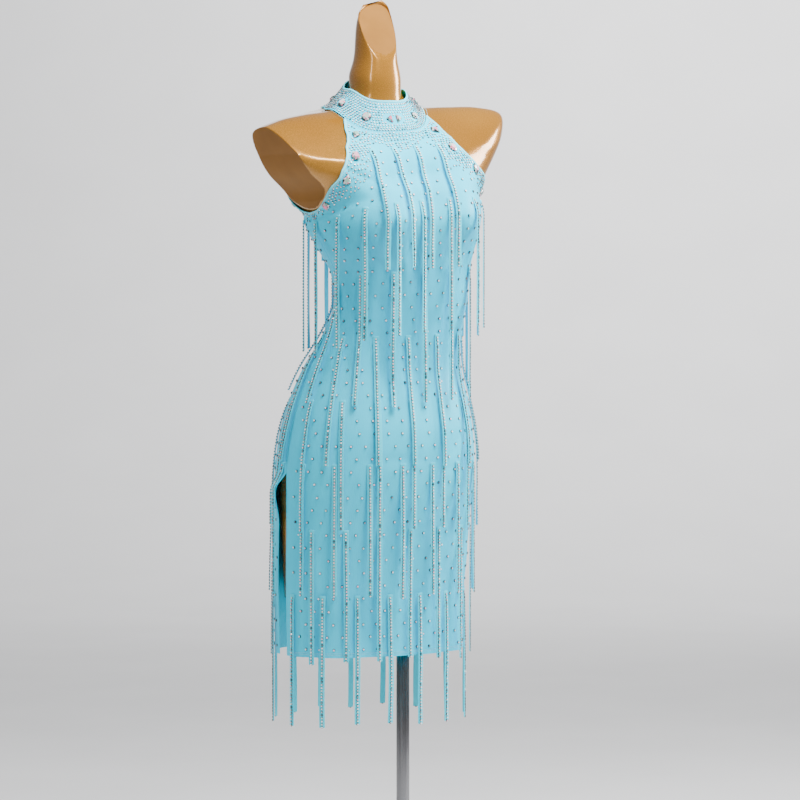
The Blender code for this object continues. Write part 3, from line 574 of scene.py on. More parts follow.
def crystalWithPaintedGlints(name, stops, metallic, roughness, paintedTableStops=None):
    # Lead crystal with a mirror foil behind and an iridescent film; its colour is painted from a value per
    # stone or per facet: white painted glints, dark painted shade, and patches of the film's tint
    material, tree, shader = newMaterial(
        name, Metallic=metallic, Roughness=roughness, IOR=1.56, Coat_Weight=1.0, Coat_Roughness=0.02,
    )
    factor = addNode(tree, "ShaderNodeAttribute", attribute_name="paintedGlint").outputs["Fac"]
    colour = colourRamp(tree, factor, stops)
    # the table facet takes its own stops: on the small stones it is painted as a glint, white or tinted pink or
    # green
    if paintedTableStops:
        table = addNode(tree, "ShaderNodeAttribute", attribute_name="table")
        mixed = addNode(
            tree, "ShaderNodeMixRGB",
            {"Fac": table.outputs["Fac"], "Color1": colour, "Color2": colourRamp(tree, factor, paintedTableStops)},
        )
        colour = mixed.outputs["Color"]
    dressShader(tree, shader, colour)
    return material


def polyesterThread():
    # Spun polyester sewing thread: dull, a shade lighter than the cloth
    material, tree, shader = newMaterial("spunPolyesterThread", Roughness=0.7, Sheen_Weight=0.2)
    place = addNode(tree, "ShaderNodeTexCoord").outputs["Object"]
    twist = addNode(tree, "ShaderNodeTexNoise", {"Vector": place}, {"Scale": 900.0, "Detail": 2.0})
    dressShader(tree, shader, colourRamp(tree, twist.outputs["Fac"], ((0.35, "7CC6D6"), (0.65, "B4E8F0"))))
    return material


def paperBackdrop():
    # Seamless studio paper: matt, with a faint mottle
    material, tree, shader = newMaterial("seamlessStudioPaper", Roughness=0.9, Specular_IOR_Level=0.2)
    place = addNode(tree, "ShaderNodeTexCoord").outputs["Object"]
    mottle = addNode(tree, "ShaderNodeTexNoise", {"Vector": place}, {"Scale": 3.0, "Detail": 3.0})
    dressShader(tree, shader, colourRamp(tree, mottle.outputs["Fac"], ((0.2, "DADADB"), (0.8, "E0E0E1"))))
    return material


satin = stretchSatin("stretchSatinTurquoise", "00C4E4", "00CCEC", "00D4F2", 0.36)
ribbonSatin = stretchSatin("ribbonSatinTurquoise", "10C6E0", "24D0E8", "3CD8EC", 0.34)
bindingSatin = stretchSatin("foldedSatinBinding", "50CDE4", "62D8EC", "78E0F0", 0.42)
gold = goldLacquer()
cutFaceGoldWithPaintedShade = makeCutFaceGoldWithPaintedShade()
poleSteel = steel("polishedSteelTube", "6C6C6E", "848486", 0.24, (260.0, 260.0, 4.0))
plateSteel = steel("brushedSteelPlate", "8C8C90", "A4A4A8", 0.36, (4.0, 300.0, 4.0))
# small stones: sides painted dark as shade, tables painted as white glints, some tinted pink or green by the
# film, chosen at random per stone
smallCrystal = crystalWithPaintedGlints(
    "foilBackedCrystalWithPaintedGlints", ((0.0, "18262C"), (1.0, "6E828A"), (0.5, "30444C")), 0.1, 0.22,
    (
        (0.0, "4A5A62"), (1.0, "FFFFFF"), (0.14, "B8C8CE"), (0.26, "FFFFFF"),
        (0.42, "F8C8DC"), (0.56, "FFFFFF"), (0.70, "BEF2E4"), (0.84, "FFFFFF"),
    ),
)
# large stones: facets painted from dark shade through the film's green and pink tints to white glints
largeCrystal = crystalWithPaintedGlints("iridescentCutCrystalWithPaintedGlints", (
    (0.0, "1E2A2E"), (1.0, "F4FFFC"), (0.22, "4E6468"), (0.36, "8FC0AE"),
    (0.50, "FBE4EC"), (0.62, "E8588C"), (0.76, "FFF2F6"), (0.88, "9AD8C4"),
), 0.25, 0.06)
threadMaterial = polyesterThread()
print("materials ready")


# Dress panels and collar


def panelShares(width):
    # columns close to each edge for the seam's valley, then even ones
    edge = [0.0, 0.25 / width, 0.6 / width, 1.1 / width]
    count = max(6, round(width / cloth["columnStep"]))
    inside = [1.8 / width + (1 - 3.6 / width) * step / count for step in range(count + 1)]
    return edge + inside + [1 - share for share in reversed(edge)]


def panelRows():
    count = round(collarLevel / cloth["rowStep"])
    levels = [step * cloth["rowStep"] for step in range(count)]
    turn = cloth["hemTurn"] / (rings[1].side - rings[0].side)
    levels += [turn - 0.03, turn + 0.01, turn + 0.04, armpitLevel + 0.03, collarLevel - 0.06]
    levels.append(collarLevel - cloth["seamLevel"])
    return sorted(levels)


def buildPanel(name, edges):
    bottom = edges(bustLevel)
    shares = panelShares(bottom[1] - bottom[0])
    grid = []
    for level in panelRows():
        start, end = edges(level)
        perDegree = gapBetween(level, start + 1.0, start)
        row = []
        for share in shares:
            angle = start + (end - start) * share
            base = skin(level, angle)
            depth = foldDepth(angle, base.z) + creaseDepth(angle, base.z)
            lift = slitKick(angle, base.z) - depth
            fromEdge = min(share, 1 - share) * (end - start) * perDegree
            dip = cloth["seamDip"] * math.exp(-(fromEdge / cloth["seamDipWidth"]) ** 2)
            aboveHem = base.z - rings[0].side
            turned = cloth["hemRise"] * min(1.0, max(0.0, (cloth["hemTurn"] - aboveHem) / cloth["hemStep"]))
            normal = skinNormal(level, angle)
            row.append((
                base + normal * (lift - dip + turned), base + normal * (lift - cloth["wall"]),
                (angle * cloth["perDegree"], base.z),
            ))
        grid.append(row)
    return wallPiece(name, grid)


collar = {
    "columns": 180,
    "footDip": 0.0005,
    "topDip": 0.0003,
    "ripple": 0.0003,
    "rippleTurns": 3.2,
    "perDegree": 0.0009,
}


def buildCollar():
    low, high = collarLevel + cloth["seamLevel"], float(collarTopLevel)
    first, last = -180.0 + 2 * cloth["seamAngle"], 180.0 - 2 * cloth["seamAngle"]
    grid = []
    for share in (0, 0.04, 0.1, 0.2, 0.3, 0.4, 0.5, 0.6, 0.7, 0.8, 0.9, 0.96, 1.0):
        level = low + (high - low) * share
        soft = collar["footDip"] * (1 - min(1.0, 8 * share))
        soft += collar["topDip"] * max(0.0, 1 - 20 * (1 - share))
        row = []
        for step in range(collar["columns"] + 1):
            angle = first + (last - first) * step / collar["columns"]
            wave = math.sin(math.radians(angle * collar["rippleTurns"] + 40)) * math.sin(math.pi * share)
            ripple = collar["ripple"] * wave
            base = skin(level, angle)
            normal = skinNormal(level, angle)
            row.append((
                base + normal * (ripple - soft), base + normal * (ripple - cloth["wall"]),
                (angle * collar["perDegree"], base.z),
            ))
        grid.append(row)
    return wallPiece("standCollar", grid)


frontPanel = buildPanel("frontPanel", frontEdges)
backLeftPanel = buildPanel("backLeftPanel", backLeftEdges)
backRightPanel = buildPanel("backRightPanel", backRightEdges)
standCollar = buildCollar()
print("panels and collar made")


# Bindings

binding = {"width": 0.0042, "thick": 0.0024, "edgeRound": 0.35, "collarWidth": 0.0038, "seat": 0.62}


def bindingProfile(width, thick):
    half, tall, round_ = width / 2, thick / 2, binding["edgeRound"]
    return [
        (-half, -tall * round_), (-half * 0.75, -tall * 0.8), (0, -tall), (half * 0.75, -tall * 0.8),
        (half, -tall * round_), (half, tall * round_), (half * 0.75, tall * 0.85), (0, tall),
        (-half * 0.75, tall * 0.85), (-half, tall * round_),
    ]


def bindingPath(places):
    # places are (level, angle); each point takes its direction from its neighbours
    middles = [smoothCloth(level, angle, cloth["wall"] * binding["seat"]) for level, angle in places]
    path = []
    for index, (level, angle) in enumerate(places):
        before = middles[max(index - 1, 0)]
        after = middles[min(index + 1, len(places) - 1)]
        outward = skinNormal(level, angle)
        sideways = (after - before).normalized().cross(outward).normalized()
        path.append((middles[index], sideways, outward))
    return path


def armholePlaces(side):
    levels = [collarLevel - 0.05 - 0.1 * step for step in range(60)]
    levels += [armpitLevel + 1.0 - (step / 24) ** 2 for step in range(24)]
    levels = sorted({round(level, 4) for level in levels if level >= armpitLevel}, reverse=True)
    levels += [float(armpitLevel)]
    places = [(level, side * armholeAngle(level, "frontArm")) for level in levels]
    places += [(level, 180.0 - side * armholeAngle(level, "backArm")) for level in reversed(levels)]
    kept = [places[0]]
    for place in places[1:]:
        if (smoothCloth(*place, 0.0) - smoothCloth(*kept[-1], 0.0)).length > 0.0025:
            kept.append(place)
    return kept


bindings = []
for side, hand in ((-1, "right"), (1, "left")):
    path = bindingPath(armholePlaces(side))
    profile = bindingProfile(binding["width"], binding["thick"])
    if side == 1:
        profile = profile[::-1]
        path = [(middle, -sideways, outward) for middle, sideways, outward in reversed(path)]
    bindings.append(sweptPiece(f"armholeBinding_{hand}", path, profile))
path = bindingPath([(collarTopLevel - 0.02, -178.0 + 356.0 * step / 160) for step in range(161)])
bindings.append(sweptPiece("collarEdge", path, bindingProfile(binding["collarWidth"], binding["thick"])))
print("bindings made")


# Fringe ribbons

ribbon = {
    "width": 0.0092,
    "thick": 0.0009,
    "length": 0.213,
    "lengthSpread": 0.004,
    "bandGap": 0.0008,
    "lift": 0.0009,
    "liftLength": 0.02,
    "slope": 0.0190,
    "step": 0.005,
    "capLength": 0.006,     # folded head sewn to the cloth
    "sway": 0.0016,
    "twist": 9.0,
    "crown": 0.00025,
    "stoneFrom": 0.006,
    "stonePitch": 0.005,
    "stoneGap": 0.0002,
    "seed": 11,
}
# across and out, in half widths and thicknesses
ribbonProfile = (
    (-1.0, 0.15), (-1.0, 0.75), (-0.86, 1.0), (0.0, 1.0), (0.86, 1.0), (1.0, 0.75), (1.0, 0.15), (0.0, 0.0),
)
Tier = namedtuple("Tier", "name level pitch start first last lift")
tiers = [
    Tier("fringe_1", 2.0, 0.057, -8.0, -86.5, 258.0, 0.0),
    Tier("fringe_2", 4.0, 0.057, -16.0, -86.5, 259.0, 0.0),
    Tier("fringe_3", 6.0, 0.057, -7.0, 0.0, 0.0, 0.0),
    Tier("fringe_4", 8.0, 0.057, -23.0, 0.0, 0.0, 0.0),
    Tier("fringe_5", 10.0, 0.057, -34.0, 0.0, 0.0, 0.0012),
    Tier("fringe_6", 12.0, 0.057, -2.0, 0.0, 0.0, 0.0020),
    Tier("fringe_7", 15.0, 0.052, -4.0, 0.0, 0.0, 0.0010),
    Tier("fringe_8_front", 19.5, 0.042, -3.8, -18.0, 20.5, 0.0030),
    Tier("fringe_8_back", 19.5, 0.042, 180.0, 165.0, 195.0, 0.0030),
]


class ClothSlices:
    # level slices of the cloth's outer face, for hanging ribbons on it

    def __init__(self):
        self.columns = []
        levels = [0.25 * step for step in range(4 * collarLevel)]
        for angle in range(0, 360, 3):
            points = [smoothCloth(level, float(angle), cloth["wall"]) for level in levels]
            self.columns.append((points, [point.z for point in points]))
        self.kept = {}

    def at(self, z):
        key = round(z, 3)
        if key not in self.kept:
            ring = []
            for points, heights in self.columns:
                place = bisect.bisect_right(heights, key)
                if 0 < place < len(heights):
                    low, high = points[place - 1], points[place]
                    share = (key - low.z) / max(high.z - low.z, 1e-6)
                    ring.append((low.x + (high.x - low.x) * share, low.y + (high.y - low.y) * share))
            self.kept[key] = ring if len(ring) == len(self.columns) else None
        return self.kept[key]

    def reach(self, point, outward):
        ring = self.at(point.z)
        if ring is None:
            return None, None
        best, run = None, None
        beforeX, beforeY = ring[-1]
        for x, y in ring:
            edgeX, edgeY = x - beforeX, y - beforeY
            cross = outward.x * edgeY - outward.y * edgeX
            if abs(cross) > 1e-9:
                gapX, gapY = beforeX - point.x, beforeY - point.y
                share = (gapX * outward.y - gapY * outward.x) / cross
                if -0.001 <= share <= 1.001:
                    along = (gapX * edgeY - gapY * edgeX) / cross
                    if best is None or along > best:
                        best, run = along, (edgeX, edgeY)
            beforeX, beforeY = x, y
        return best, run


def rootAngles(tier):
    closed = tier.first == tier.last
    first = tier.start if closed else tier.first
    last = first + 360.0 if closed else tier.last
    steps = round(last - first)
    line = [smoothCloth(tier.level, first + step, cloth["wall"]) for step in range(steps + 1)]
    lengths = [0.0]
    for start, end in zip(line, line[1:]):
        lengths.append(lengths[-1] + (end - start).length)
    total = lengths[-1]
    if closed:
        count = round(total / tier.pitch)
        wanted = [total * step / count for step in range(count)]
    else:
        margin = 0.010
        middle = lengths[min(max(round(tier.start - first), 0), steps)]
        offset = (middle - margin) % tier.pitch
        count = int((total - 2 * margin - offset) / tier.pitch) + 1
        wanted = [margin + offset + tier.pitch * step for step in range(count)]
    angles = []
    index = 0
    for distance in wanted:
        while lengths[index + 1] < distance:
            index += 1
        share = (distance - lengths[index]) / (lengths[index + 1] - lengths[index])
        angles.append(first + index + share)
    return angles


def ribbonPath(slices, tier, angle, chance):
    # (middle of the inner face, across, outward, distance) from the root down: it lies on the
    # cloth where that stands out, and hangs plumb where it recedes
    before, root, after = (smoothCloth(tier.level, angle + turn, cloth["wall"]) for turn in (-0.5, 0.0, 0.5))
    across = Vector((after.x - before.x, after.y - before.y, 0.0)).normalized()
    outward = Vector((across.y, -across.x, 0.0))
    wanted = ribbon["length"] + chance.uniform(-1, 1) * ribbon["lengthSpread"]
    swayAmount = chance.uniform(-1, 1) * ribbon["sway"]
    swayTurns = chance.uniform(0.5, 1.2)
    twistAmount = math.radians(chance.uniform(-1, 1) * ribbon["twist"])
    twistTurns = chance.uniform(0.8, 1.6)
    middle, facing, reach, length, free = root.copy(), across, 0.0, 0.0, 0.0
    path = [(root, across, 0.0)]
    while length < wanted:
        below = Vector((root.x, root.y, middle.z - ribbon["step"]))
        surface, run = slices.reach(below, outward)
        layer = ribbon["bandGap"] * min(1.0, length / 0.004) + ribbon["slope"] * length
        layer += (ribbon["lift"] + tier.lift) * min(1.0, length / ribbon["liftLength"])
        if surface is not None and surface + layer > reach:
            reach = surface + layer
            facing = Vector((run[0], run[1], 0.0)).normalized()
            free = max(0.0, free - 0.004)
        else:
            free += ribbon["step"]
        point = below + outward * reach
        length += (point - middle).length
        middle = point
        path.append((point, facing, free))
    places = []
    total = len(path) - 1
    for index, (point, facing, free) in enumerate(path):
        share = index / total
        loose = min(1.0, free / 0.05)
        sway = swayAmount * math.sin(math.pi * swayTurns * share) * share * (0.5 + loose)
        twist = twistAmount * math.sin(math.pi * twistTurns * share) * share * (0.35 + 1.6 * loose)
        outside = Vector((facing.y, -facing.x, 0.0))
        before, after = path[max(index - 1, 0)][0], path[min(index + 1, total)][0]
        down = (after - before).normalized()
        turned = Matrix.Rotation(twist, 3, down) @ facing
        normal = down.cross(turned).normalized()
        if normal.dot(outside) < 0:
            normal = -normal
        lift = 0.5 * ribbon["width"] * abs(math.sin(twist)) * (1 - 0.5 * loose)
        places.append((point + facing * sway + outside * lift, turned, normal, down))
    return places


def ribbonRing(place, distance):
    middle, across, normal = place[:3]
    head = math.exp(-(distance / ribbon["capLength"]) ** 4)
    half = ribbon["width"] / 2 * (1 + 0.10 * head)
    thick = ribbon["thick"] * (1 + 1.1 * head)
    ring = []
    for wide, tall in ribbonProfile:
        bend = ribbon["crown"] * (1 - wide * wide)
        ring.append(middle + across * (half * wide) + normal * (thick * tall + bend))
    return ring


ribbonStonePlaces = {}      # each place is (point, facing, along, size)


def buildTier(tier, slices, chance):
    points, faces, uv, stones = [], [], [], []
    around = len(ribbonProfile)
    for order, angle in enumerate(rootAngles(tier)):
        places = ribbonPath(slices, tier, angle, chance)
        top, across, normal, down = places[0]
        places.insert(1, (top + (places[1][0] - top) * 0.3, across, normal, down))
        places.insert(0, (top - down * 0.0015 - normal * 0.0002, across, normal, down))
        for face in tubeFaces(len(places), around, len(points)):    # turned round to face out
            faces.append((face[0], *face[:0:-1]) if len(face) == 4 else face[::-1])
        distance = 0.0
        for index, place in enumerate(places):
            if index:
                distance += (place[0] - places[index - 1][0]).length
            ring = ribbonRing(place, distance)
            if index == 0:
                middle = sum(ring, Vector()) / len(ring)
                ring = [middle + (point - middle) * 0.82 for point in ring]
            points += ring
            uv += [(order * 0.02 + step * 0.0015, distance) for step in range(around)]
        line = [place[0] for place in places]
        for index, share in alongLine(line, ribbon["stoneFrom"], ribbon["stonePitch"]):
            before, after = places[index:index + 2]
            facing = before[2].lerp(after[2], share).normalized()
            seat = before[0].lerp(after[0], share) + facing * (ribbon["thick"] + ribbon["stoneGap"])
            stones.append((seat, facing, before[3], 1.0))
    piece = makePiece(f"ribbons_{tier.name}", points, faces, uv, 50.0)
    piece.data.materials.append(ribbonSatin)
    ribbonStonePlaces[tier.name] = stones
    return piece


slices = ClothSlices()
chance = random.Random(ribbon["seed"])
ribbonPieces = {tier.name: buildTier(tier, slices, chance) for tier in tiers}
print("ribbons made:", sum(len(rootAngles(tier)) for tier in tiers))


# Small stones and stitches: set out by rules and built by Geometry Nodes

stoneSet = {
    "latticeWide": 0.024,
    "latticeHigh": 0.021,
    "latticeSize": 1.22,
    "dense": 0.0053,
    "denseSize": 0.88,
    "armholeBand": 0.060,
    "collarBand": 0.046,
    "edgeMargin": 0.0052,
    "collarPitch": 0.0047,
    "ribbonClear": 0.0075,
    "denseClear": 0.009,
    "latticeClear": 0.012,
    "latticeEdge": 0.03,        # bare strip beside the armholes, filled by the dense ones
    "slitClear": 11,
    "seed": 5,
}


def treeOf(places):
    tree = KDTree(len(places))
    for order, place in enumerate(places):
        tree.insert(place[0], order)
    tree.balance()
    return tree


ribbonTree = treeOf([place for places in ribbonStonePlaces.values() for place in places])


def placeOnCloth(level, angle, size):
    normal = skinNormal(level, angle)
    point = clothPoint(level, angle, cloth["wall"])
    along = (skin(level + 0.05, angle) - skin(level - 0.05, angle)).normalized()
    return point, normal, along, size


def panelHalf(level, back):
    return armholeAngle(level, "backArm" if back else "frontArm")


def latticeStones(chance):
    # a staggered net over the whole dress
    places = []
    levels, fromBottom = [], 0.012
    fine = [0.02 * step for step in range(int((collarLevel - 0.5) / 0.02))]
    run = 0.0
    for low, high in zip(fine, fine[1:]):
        run += (skin(high, 0.0) - skin(low, 0.0)).length
        if run >= fromBottom:
            levels.append(high)
            fromBottom += stoneSet["latticeHigh"]
    for row, level in enumerate(levels):
        angle = -90.0 + 3.0 * chance.random()
        run = 0.5 * (row % 2) * stoneSet["latticeWide"]
        before = skin(level, angle)
        while angle < 270.0:
            angle += 0.5
            point = skin(level, angle)
            run += (point - before).length
            before = point
            if run < stoneSet["latticeWide"]:
                continue
            run = 0.0
            back = 90.0 < angle
            half = panelHalf(level, back)
            middle = 180.0 if back else 0.0
            fromEdge = (half - abs(angle - middle)) * gapBetween(level, angle + 0.5, angle - 0.5)
            if level > armpitLevel - 0.5 and fromEdge < stoneSet["latticeEdge"]:
                continue
            if level < 7 and abs(turnBetween(angle, -90.0)) < stoneSet["slitClear"]:
                continue
            wobble = chance.uniform(-0.5, 0.5)
            places.append(placeOnCloth(level, angle + wobble, stoneSet["latticeSize"]))
    return places


def spaced(places, apart):
    # leaves out those too close to one already set
    kept, cells = [], {}
    around = (-1, 0, 1)
    for place in places:
        x, y, z = (int(value // apart) for value in place[0])
        near = [
            other for right in around for back in around for up in around
            for other in cells.get((x + right, y + back, z + up), ())
        ]
        if all((place[0] - other).length >= apart for other in near):
            cells.setdefault((x, y, z), []).append(place[0])
            kept.append(place)
    return kept


def denseStones(chance):
    # close rows beside the armholes and under the collar, thinning out
    places = []
    for back in (False, True):
        middle = 180.0 if back else 0.0
        level = armpitLevel - 0.9
        row = 0
        while level < collarLevel - 0.1:
            half = panelHalf(level, back)
            perDegree = gapBetween(level, middle + half, middle + half - 1.0)
            step = stoneSet["dense"] / max(perDegree, 1e-4)
            first = half - stoneSet["edgeMargin"] / perDegree - (0.5 * step if row % 2 else 0.0)
            step = first / (max(1, round(first / step - 0.5)) + 0.5)
            for side in (-1, 1):
                angle = first
                while angle > 0.4 * step:
                    fromEdge = (half - angle) * perDegree
                    turn = middle + side * angle
                    fromCollar = (skin(collarLevel, turn) - skin(level, turn)).length
                    belowArm = max(0.0, armpitLevel + 0.4 - level) * 0.03
                    nearest = min(
                        (fromEdge + belowArm) / stoneSet["armholeBand"], fromCollar / stoneSet["collarBand"],
                    )
                    keep = 1.0 if nearest < 0.5 else max(0.0, 1.0 - (nearest - 0.5) / 0.5) ** 1.5
                    if level < armpitLevel and fromEdge > stoneSet["armholeBand"] * 0.7:
                        keep = 0.0
                    if chance.random() < keep:
                        turn += side * chance.uniform(-0.12, 0.12) * step
                        places.append(placeOnCloth(level, turn, stoneSet["denseSize"]))
                    angle -= step
            here = skin(level, middle + 0.7 * half)
            grow = 0.01
            while (skin(level + grow, middle + 0.7 * half) - here).length < stoneSet["dense"] * 0.87:
                grow += 0.01
            level += grow
            row += 1
    return spaced(places, stoneSet["dense"] * 0.84)


def collarStones():
    places = []
    low, high = collarLevel + 0.14, collarTopLevel - 0.18
    tall = (skin(high, 0.0) - skin(low, 0.0)).length
    rows = round(tall / stoneSet["collarPitch"])
    for row in range(rows + 1):
        level = low + (high - low) * row / rows
        around = sum(gapBetween(level, step + 1.0, float(step)) for step in range(360))
        count = round(around / stoneSet["collarPitch"])
        for step in range(count):
            angle = -180.0 + 360.0 * (step + 0.5 * (row % 2)) / count
            places.append(placeOnCloth(level, angle, stoneSet["denseSize"]))
    return places


# large stones: the same places as on the CAD part

largeStone = {
    "collarLevel": 23.9,
    "collarSize": (0.0185, 0.0160),
    "pairAngle": 6.4,
    "pairSize": (0.0128, 0.0160),
    "armholeSize": (0.0185, 0.0155),
    "inset": 0.014,             # from the armhole's edge
    "height": 0.0042,
    "gap": 0.0002,
    "clear": 0.0102,
    "seed": 4,
}
Large = namedtuple("Large", "name level angle length width shape turn")

# unit outlines, counter-clockwise, y along the stone
stoneOutlines = {
    "triangle": (
        (0.0, 1.0), (-0.45, 0.35), (-0.95, -0.55), (-0.80, -0.75),
        (0.0, -0.75), (0.80, -0.75), (0.95, -0.55), (0.45, 0.35),
    ),
    "kite": (
        (0.0, 1.0), (-0.45, 0.70), (-0.95, 0.25), (-0.75, -0.30),
        (0.0, -1.0), (0.75, -0.30), (0.95, 0.25), (0.45, 0.70),
    ),
    "drop": (
        (0.0, 1.0), (-0.42, 0.55), (-0.85, 0.05), (-0.95, -0.45), (-0.55, -0.88),
        (0.0, -1.0), (0.55, -0.88), (0.95, -0.45), (0.85, 0.05), (0.42, 0.55),
    ),
    "oval": [(math.cos(math.radians(angle)), math.sin(math.radians(angle))) for angle in range(90, 450, 30)],
}


def armholePlace(height, column, side):
    level = armpitLevel + 0.2
    while level < collarLevel:
        half = armholeAngle(level, column)
        edge = (0.0 if column == "frontArm" else 180.0) + side * half
        angle = edge - side * largeStone["inset"] / gapBetween(level, edge, edge - side)
        place = skin(level, angle)
        if place.z >= height + ringAt(level).tilt * (place.x - body["neckX"]):
            return level, angle
        level += 0.02
    return level, angle


def largeStoneRows():
    rows = []
    angles, shapes = (-78.0, -38.0, 38.0, 78.0, 122.0, 238.0), ("drop", "oval", "kite", "oval", "drop", "kite")
    for index, (angle, shape) in enumerate(zip(angles, shapes)):
        name = f"stone_collar_{index + 1}"
        turn = 18 * (-1) ** index
        rows.append(Large(name, largeStone["collarLevel"], angle, *largeStone["collarSize"], shape, turn))
    for sign, letter in ((-1, "a"), (1, "b")):
        name, level, angle = f"stone_front_{letter}", largeStone["collarLevel"], sign * largeStone["pairAngle"]
        rows.append(Large(name, level, angle, *largeStone["pairSize"], "triangle", -90 * sign))
    shapes = ("kite", "drop", "oval", "kite")
    for column, place, heights in (
        ("frontArm", "front", (1.221, 1.262, 1.300, 1.332)), ("backArm", "back", (1.225, 1.275, 1.322)),
    ):
        for side, hand in ((-1, "right"), (1, "left")):
            if place == "back":
                side = -side
            for index, height in enumerate(heights):
                level, angle = armholePlace(height, column, side)
                name = f"stone_{place}_{hand}_{index + 1}"
                rows.append(Large(name, level, angle, *largeStone["armholeSize"], shapes[index], 20 * side))
    return rows


def stoneSeat(stone, normal):
    # middle of the flat back, clear of the highest cloth under it
    middle = smoothCloth(stone.level, stone.angle, cloth["wall"])
    oneLevel = (skin(stone.level + 0.1, stone.angle) - skin(stone.level, stone.angle)).length / 0.1
    oneDegree = gapBetween(stone.level, stone.angle + 1.0, stone.angle)
    rise = 0.0
    for up in (-0.5, 0.0, 0.5):
        for aside in (-0.5, 0.0, 0.5):
            level = stone.level + up * stone.length / oneLevel
            angle = stone.angle + aside * stone.width / oneDegree
            rise = max(rise, (smoothCloth(level, angle, cloth["wall"]) - middle).dot(normal))
    return middle + normal * (rise + largeStone["gap"])


def buildLargeStones(rows, chance):
    # each facet has its own painted glint value; the facets at the rim are painted dark as shade
    points, faces, paintedGlints = [], [], []
    for stone in rows:
        normal = skinNormal(stone.level, stone.angle)
        across = skin(stone.level, stone.angle + 0.5) - skin(stone.level, stone.angle - 0.5)
        across = (across - normal * across.dot(normal)).normalized()
        upward = normal.cross(across)
        spin = Matrix.Rotation(math.radians(stone.turn), 3, normal)
        across, upward = spin @ across, spin @ upward
        middle = stoneSeat(stone, normal)
        outline = stoneOutlines[stone.shape]
        count = len(outline)
        first = len(points)
        for scale, height, shift in ((0.94, 0.0, 0.0), (1.0, 0.18, 0.0), (0.80, 0.62, 0.5), (0.50, 1.0, 0.0)):
            for step in range(count):
                x, y = outline[step]
                if shift:
                    nextX, nextY = outline[(step + 1) % count]
                    x, y = (x + nextX) / 2, (y + nextY) / 2
                place = across * (x * scale * stone.width / 2) + upward * (y * scale * stone.length / 2)
                points.append(middle + place + normal * (height * largeStone["height"]))
        faces.append(tuple(first + step for step in reversed(range(count))))
        for step in range(count):
            other = (step + 1) % count
            a, b, c, d = first, first + count, first + 2 * count, first + 3 * count
            faces.append((a + step, a + other, b + other, b + step))
            faces.append((b + step, b + other, c + step))
            faces.append((b + other, c + other, c + step))
            faces.append((c + step, c + other, d + other))
            faces.append((c + step, d + other, d + step))
        faces.append(tuple(first + 3 * count + step for step in range(count)))
        paintedGlints.append(0.0)
        for step in range(count):
            upper = chance.uniform(0.0, 1.0)
            paintedGlints += [0.05, chance.uniform(0.0, 0.3), chance.uniform(0.0, 0.8), upper, upper]
        paintedGlints.append(chance.uniform(0.30, 0.72))
    piece = makePiece("largeStones", points, faces, None, 3.0)
    layer = piece.data.attributes.new("paintedGlint", "FLOAT", "FACE")
    layer.data.foreach_set("value", paintedGlints)
    piece.data.materials.append(largeCrystal)
    return piece


largeRows = largeStoneRows()
largeStones = buildLargeStones(largeRows, random.Random(largeStone["seed"]))
largeCentres = [smoothCloth(stone.level, stone.angle, cloth["wall"]) for stone in largeRows]


def clearOf(place, close):
    return all((place[0] - centre).length > close for centre in largeCentres)


chance = random.Random(stoneSet["seed"])
collarPlaces = [place for place in collarStones() if clearOf(place, largeStone["clear"])]
densePlaces = [place for place in denseStones(chance) if clearOf(place, largeStone["clear"])]
denseTree = treeOf(densePlaces)
latticePlaces = [
    place for place in latticeStones(chance)
    if clearOf(place, stoneSet["latticeClear"]) and denseTree.find(place[0])[2] > stoneSet["denseClear"]
]
clothPlaces = [
    place for place in densePlaces + latticePlaces if ribbonTree.find(place[0])[2] > stoneSet["ribbonClear"]
]
print("stones placed:", len(collarPlaces), len(clothPlaces), sum(len(p) for p in ribbonStonePlaces.values()))


def startTree(name, inputs):
    tree = bpy.data.node_groups.new(name, "GeometryNodeTree")
    tree.interface.new_socket("Geometry", in_out="INPUT", socket_type="NodeSocketGeometry")
    for label, kind, value in inputs:
        socket = tree.interface.new_socket(label, in_out="INPUT", socket_type=kind)
        socket.default_value = value
    tree.interface.new_socket("Geometry", in_out="OUTPUT", socket_type="NodeSocketGeometry")
    return tree, addNode(tree, "NodeGroupInput").outputs


def finishTree(tree, points, shape, rotation, scale, material):
    placed = addNode(
        tree, "GeometryNodeInstanceOnPoints",
        {"Points": points, "Instance": shape, "Rotation": rotation, "Scale": scale},
    )
    real = addNode(tree, "GeometryNodeRealizeInstances", {"Geometry": placed.outputs["Instances"]})
    coloured = addNode(
        tree, "GeometryNodeSetMaterial", {"Geometry": real.outputs["Geometry"]}, {"Material": material},
    )
    addNode(tree, "NodeGroupOutput", {"Geometry": coloured.outputs["Geometry"]})
    return tree


def readAttribute(tree, name, kind):
    return addNode(
        tree, "GeometryNodeInputNamedAttribute", None, {"Name": name}, data_type=kind,
    ).outputs["Attribute"]


